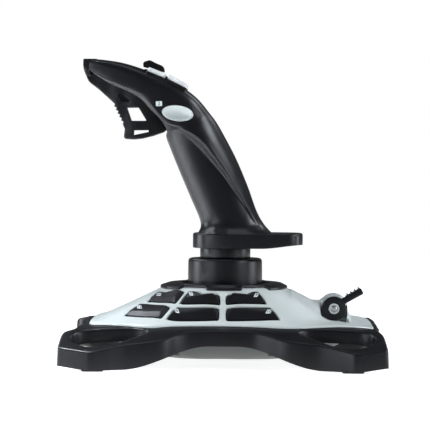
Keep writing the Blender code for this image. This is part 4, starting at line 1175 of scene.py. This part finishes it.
def grip_half(side):
    """Half shell of the grip and head with a rolled lower lip."""
    inner = 24
    roll = GRIP_WALL / 2
    last = len(GRIP) - 1
    lines = []
    for k in range(GRIP_STEPS + 1):
        s = last * k / GRIP_STEPS
        ry, rz, fy, fz, _, opening = spline_row(GRIP, s)
        opening = max(0.0, opening)
        half_d = math.hypot(fy - ry, fz - rz) / (1 + math.cos(opening))
        has_lip = opening > 0.05
        stop = math.pi - opening - (roll / half_d if has_lip else 0.0)
        line = [grip_point(s, stop * i / GRIP_AROUND, 0.0, side) for i in range(GRIP_AROUND + 1)]
        for j in range(1, 7):
            turn = math.pi * j / 7
            theta = stop + (roll * math.sin(turn) / half_d if has_lip else 0.0)
            line.append(grip_point(s, theta, roll * (1 - math.cos(turn)), side))
        line += [grip_point(s, stop * i / inner, GRIP_WALL, side) for i in range(inner, -1, -1)]
        lines.append(line)
    return loft(lines)


def slope_frame(x, y, z, angle):
    """Local frame on the head top: X along world X, Y along the slope."""
    turn = Matrix.Rotation(math.radians(angle), 4, "X")
    turn.translation = Vector((x, y, z))
    return turn


def thumb_outline(grow):
    turn = math.radians(THUMB_TILT)
    outline = []
    for c, s in circle(72):
        u = (THUMB_LONG + grow) * c
        v = (THUMB_SHORT + grow) * s
        outline.append((THUMB_Y + u * math.cos(turn) - v * math.sin(turn),
                        THUMB_Z + u * math.sin(turn) + v * math.cos(turn)))
    return outline


def build_grip():
    for word, side in (("left", -1), ("right", 1)):
        half = add_mesh("grip_" + word, *grip_half(side), "grip_black", 45.0)
        cutters = []
        for x, y, z, angle, length in HEAD_BUTTONS.values():
            if x * side > 0:
                grown = block((-4.0, -length / 2 - 0.4, -14), (4.0, length / 2 + 0.4, 6))
                cutters.append(placed(grown, slope_frame(x, y, z, angle)))
        if side < 0:
            cutters.append(side_prism(thumb_outline(0.35), -28, -8))
        carve(half, [add_mesh("cut", *shape, "grip_black") for shape in cutters], 45.0)
        finish_piece(half, "grip_black", "grip", f"handle_{word}_shell")


def build_hand_rest():
    shape = dressed_plan(mirrored_loop(REST_HALF, 14), [circle(48, 11)],
                         grid(3.0, (-9, 10), (-19, 9)), lambda x, y: FLANGE_TOP + 0.3,
                         lambda x, y: FLANGE_BOTTOM + 2.6 * smoothstep((-26 - y) / 30), 1.2, 0.3)
    piece("rest_flange", shape, "grip_black", "grip", "hand_rest", angle=40.0)


def build_thumb():
    rings = [[(x, THUMB_Y + (y - THUMB_Y) * share, THUMB_Z + (z - THUMB_Z) * share)
              for y, z in thumb_outline(0.0)] for share, x in THUMB_LEVELS]
    piece("thumb_cap", loft(rings), "button_silver", "thumb_key", "thumb_button", angle=60.0)


def build_thumb_tag():
    """Number plate on the head just in front of the thumb key."""
    spots = []
    for k in range(360):
        for i in range(60):
            x, y, z = grip_point(7.0 + 4.0 * k / 360, 0.4 + 1.6 * i / 60, 0.0, -1)
            spots.append((math.hypot(y - THUMB_TAG_Y, z - THUMB_TAG_Z), x, y, z))
    spots.sort()
    near = [Vector(spot[1:]) for spot in spots[:40]]
    centre = sum(near, Vector()) / len(near)
    around = [Vector(spot[1:]) for spot in spots if 2.0 < spot[0] < 2.6]
    normal = Vector()
    for first, second in zip(around, around[1:]):
        turn = (first - centre).cross(second - centre)
        normal += turn if turn.x < 0 else -turn
    frame_here = tag_frame(centre, normal.normalized(), Vector((0, 0.04, 1)))
    add_tag("thumb_button", "2", lambda u, v, h: tuple(frame_here @ Vector((u, v, 0.16 + h))),
            4.5, 3.5, "grip")


def build_head_buttons():
    for name, (x, y, z, angle, length) in HEAD_BUTTONS.items():
        place = slope_frame(x, y, z, angle)
        body = block((-HEAD_BUTTON_HALF_W, -length / 2, -5.2),
                     (HEAD_BUTTON_HALF_W, length / 2, 1.5))
        piece(name + "_cap", placed(body, place), "key_pale", name + "_key", name, edge=(0.7, 4))
        loops = []
        for half_w, half_l in ((4.4, length / 2 + 0.6), (3.85, length / 2 + 0.25)):
            corners = ((-half_w, -half_l), (half_w, -half_l), (half_w, half_l), (-half_w, half_l))
            loops.append(rounded(corners, 1.0, 4))
        ring = dressed_plan(loops[0], loops[1:], [], lambda u, v: -1.7, lambda u, v: -6.0,
                            0.25, 0.1)
        piece(name + "_surround", placed(ring, place), "grip_black", "grip")
    post = block((-3.4, -0.7, -3.0), (3.4, 0.7, 0.7))
    for word, x in (("left", -HEAD_BUTTON_X), ("right", HEAD_BUTTON_X)):
        piece("button_post_" + word, placed(post, slope_frame(x, 42.9, 205.3, 25.0)),
              "grip_black", "grip", edge=(0.25, 2))


def build_hat():
    piece("hat_top", side_prism(HAT_SIDE, -HAT_HALF_W, HAT_HALF_W), "grip_black", "hat", "hat_cap",
          edge=(0.7, 4))
    piece("hat_stem", disc_z((0, HAT_Y, HAT_Z + 6.2), 2.2, 9.6), "grip_black", "hat", angle=40.0)


def build_hat_boot():
    """Soft collar on the head that fills the space under the hat."""
    rings = []
    for grow, low_z, high_z in BOOT_LEVELS:
        ring = []
        for c, s in circle(48):
            x = (BOOT_HALF[0] + grow) * math.copysign(abs(c) ** 0.6, c)
            y = (BOOT_HALF[1] + grow) * math.copysign(abs(s) ** 0.6, s)
            share = 0.5 + y / (2 * BOOT_HALF[1])
            ring.append((x, HAT_Y + 0.4 + y, low_z + (high_z - low_z) * share))
        rings.append(ring)
    piece("hat_boot", loft(rings), "rubber", "grip", angle=40.0)


def trigger_half_width(y, _=None):
    """Half width of the trigger blade: widest at the finger, narrower at both ends."""
    for (y0, w0), (y1, w1) in zip(TRIGGER_WIDTHS, TRIGGER_WIDTHS[1:]):
        if y <= y1:
            return w0 + (w1 - w0) * smoothstep((y - y0) / (y1 - y0))
    return TRIGGER_WIDTHS[-1][1]


def nose_half_width(_, z):
    """Half width of the nose cap: full at the top, drawn in to the trigger below."""
    return 7.2 + 1.0 * smoothstep((z - 206.0) / 7.0)


def build_trigger():
    teeth = []
    (y0, z0), (y1, z1) = TEETH_START, TEETH_END
    for k in range(TEETH):
        for share, depth in ((k / TEETH, -0.9), ((k + 0.65) / TEETH, 0.5)):
            teeth.append((y0 + (y1 - y0) * share + depth, z0 + (z1 - z0) * share))
    outline = smooth_run(TRIGGER_FRONT, 8) + teeth + rounded(TRIGGER_HEEL, 1.0, 3)[3:-3]
    outline += smooth_run(TRIGGER_INNER, 4) + [(96.8, 210.9)]
    windows = [rounded(window, 0.7, 4) for window in TRIGGER_WINDOWS]
    shape = side_plan(outline, windows, grid(2.5, (17, 40), (64, 85)), trigger_half_width,
                      0.75, 0.4)
    blade = add_mesh("trigger_blade_shell", *shape, "satin_black", 32.0)
    pocket = rounded(TRIGGER_POCKET, 0.5)
    cutters = []
    for side in (-1, 1):
        edges = sorted((side * 14.0, side * (trigger_half_width(74.0) - 1.3)))
        cutters.append(add_mesh("cut", *side_prism(pocket, *edges), "satin_black"))
    carve(blade, cutters, 32.0)
    finish_piece(blade, "satin_black", "trigger_blade", "trigger")


def build_nose():
    """Flat-sided cap that closes the front of the head, with a rolled edge."""
    outline = NOSE_TOP + smooth_run(NOSE_FRONT, 5) + smooth_run(NOSE_REAR, 5) + [(93.6, 217.2)]
    shape = side_plan(outline, [], grid(1.5, (63, 70), (138, 146)), nose_half_width, 0.55, 0.1)
    piece("nose_strip", shape, "satin_black", "grip", "nose_cap", angle=40.0)


# ---- inner pieces keep their CAD shape
def dress_inner_nodes():
    inner = {
        "inner_plastic": ("gimbal_cradle", "pitch_yoke", "spring_seat", "grip_wire_guide",
                          "hat_gimbal"),
        "steel": ("stick_tube", "centering_spring", "ballast_plate", "trigger_pin",
                  *(f"base_screw_{i}" for i in range(1, 5)),
                  *(f"handle_screw_{i}" for i in range(1, 4))),
        "sensor": ("pitch_sensor", "twist_sensor", "throttle_sensor", "trigger_switch",
                   "thumb_switch"),
        "board": ("main_board", "keypad_board", "front_keypad_board", "head_board"),
        "rubber": ("keypad_dome_mat", "cable_gland"),
    }
    for look, names in inner.items():
        for name in names:
            obj = NODES[name]
            if not obj.material_slots:
                obj.data.materials.append(LOOKS[look])
            for item in obj.material_slots:
                item.link = "OBJECT"
                item.material = LOOKS[look]


# ---- stage, light, camera
def build_stage():
    near, far, side = FLOOR_REACH
    mesh = bpy.data.meshes.new("floor")
    mesh.from_pydata([(-near, -side, 0), (far, -side, 0), (far, side, 0), (-near, side, 0)], [],
                     [(0, 1, 2, 3)])
    mat = bpy.data.materials.new("floor_paper")
    mat.use_nodes = True
    wire(mat.node_tree.nodes["Principled BSDF"], {
        "Base Color": (0.6, 0.6, 0.6, 1), "Roughness": 0.95, "Specular IOR Level": 0.0,
        "Emission Color": (1, 1, 1, 1), "Emission Strength": 0.85})
    mesh.materials.append(mat)
    linked("floor", mesh)


def add_softbox(name, place, way, width, height, power, spread=180.0):
    data = bpy.data.lights.new(name, "AREA")
    data.shape = "RECTANGLE"
    data.size = width
    data.size_y = height
    data.energy = power
    data.color = LIGHT_TINT
    data.spread = math.radians(spread)
    lamp = linked(name, data)
    lamp.location = place
    lamp.rotation_euler = Vector(way).to_track_quat("-Z", "Y").to_euler()


def build_light():
    """White cyclorama with softboxes on both sides of the stick."""
    world = bpy.data.worlds.new("studio")
    world.use_nodes = True
    bpy.context.scene.world = world
    tree = world.node_tree
    white = (1, 1, 1, 1)
    back = wire(tree.nodes["Background"], {"Color": white, "Strength": 1.0})
    dim = add_node(tree, "Background", {"Color": white, "Strength": WORLD_GLOW})
    seen = add_node(tree, "LightPath", {}).outputs["Is Camera Ray"]
    pick = add_node(tree, "MixShader", {"Fac": seen, 1: dim.outputs["Background"],
                                        2: back.outputs["Background"]})
    wire(tree.nodes["World Output"], {"Surface": pick.outputs["Shader"]})
    for name, (azimuth, elevation, width, height, power) in SOFTBOXES.items():
        a = math.radians(azimuth)
        e = math.radians(elevation)
        way = Vector((-math.cos(a) * math.cos(e), math.sin(a) * math.cos(e), math.sin(e)))
        add_softbox(name, LIGHT_MIDDLE + way * LIGHT_REACH, -way, width, height, power)
    for name, (place, size, power) in WASHES.items():
        add_softbox(name, place, (0, 0, -1), size, size, power, WASH_SPREAD)


def build_camera():
    data = bpy.data.cameras.new("camera")
    data.sensor_width = 36.0
    data.lens = CAMERA_LENS
    data.clip_end = 50.0
    way = (CAMERA_AIM - CAMERA_AT).normalized()
    right = way.cross(Vector((0, 0, 1))).normalized()
    up = right.cross(way)
    roll = math.radians(CAMERA_ROLL)
    turn = Matrix((right * math.cos(roll) + up * math.sin(roll),
                   up * math.cos(roll) - right * math.sin(roll), -way)).transposed().to_4x4()
    turn.translation = CAMERA_AT
    camera = linked("camera", data)
    camera.matrix_world = turn
    bpy.context.scene.camera = camera


def clear_defaults():
    keep = set(NODES.values()) | set(frame["bodies"].values())
    for item in list(bpy.data.objects):
        if item not in keep:
            bpy.data.objects.remove(item, do_unlink=True)


for step in (clear_defaults, build_frame, build_deck, build_keys, build_tags, build_ring,
             build_collar, build_pan, build_feet, build_throttle, build_grip, build_hand_rest,
             build_thumb, build_thumb_tag, build_head_buttons, build_hat, build_hat_boot,
             build_trigger, build_nose, dress_inner_nodes, build_stage, build_light,
             build_camera):
    step()
bpy.context.scene.view_settings.view_transform = "Standard"
bpy.context.view_layer.update()
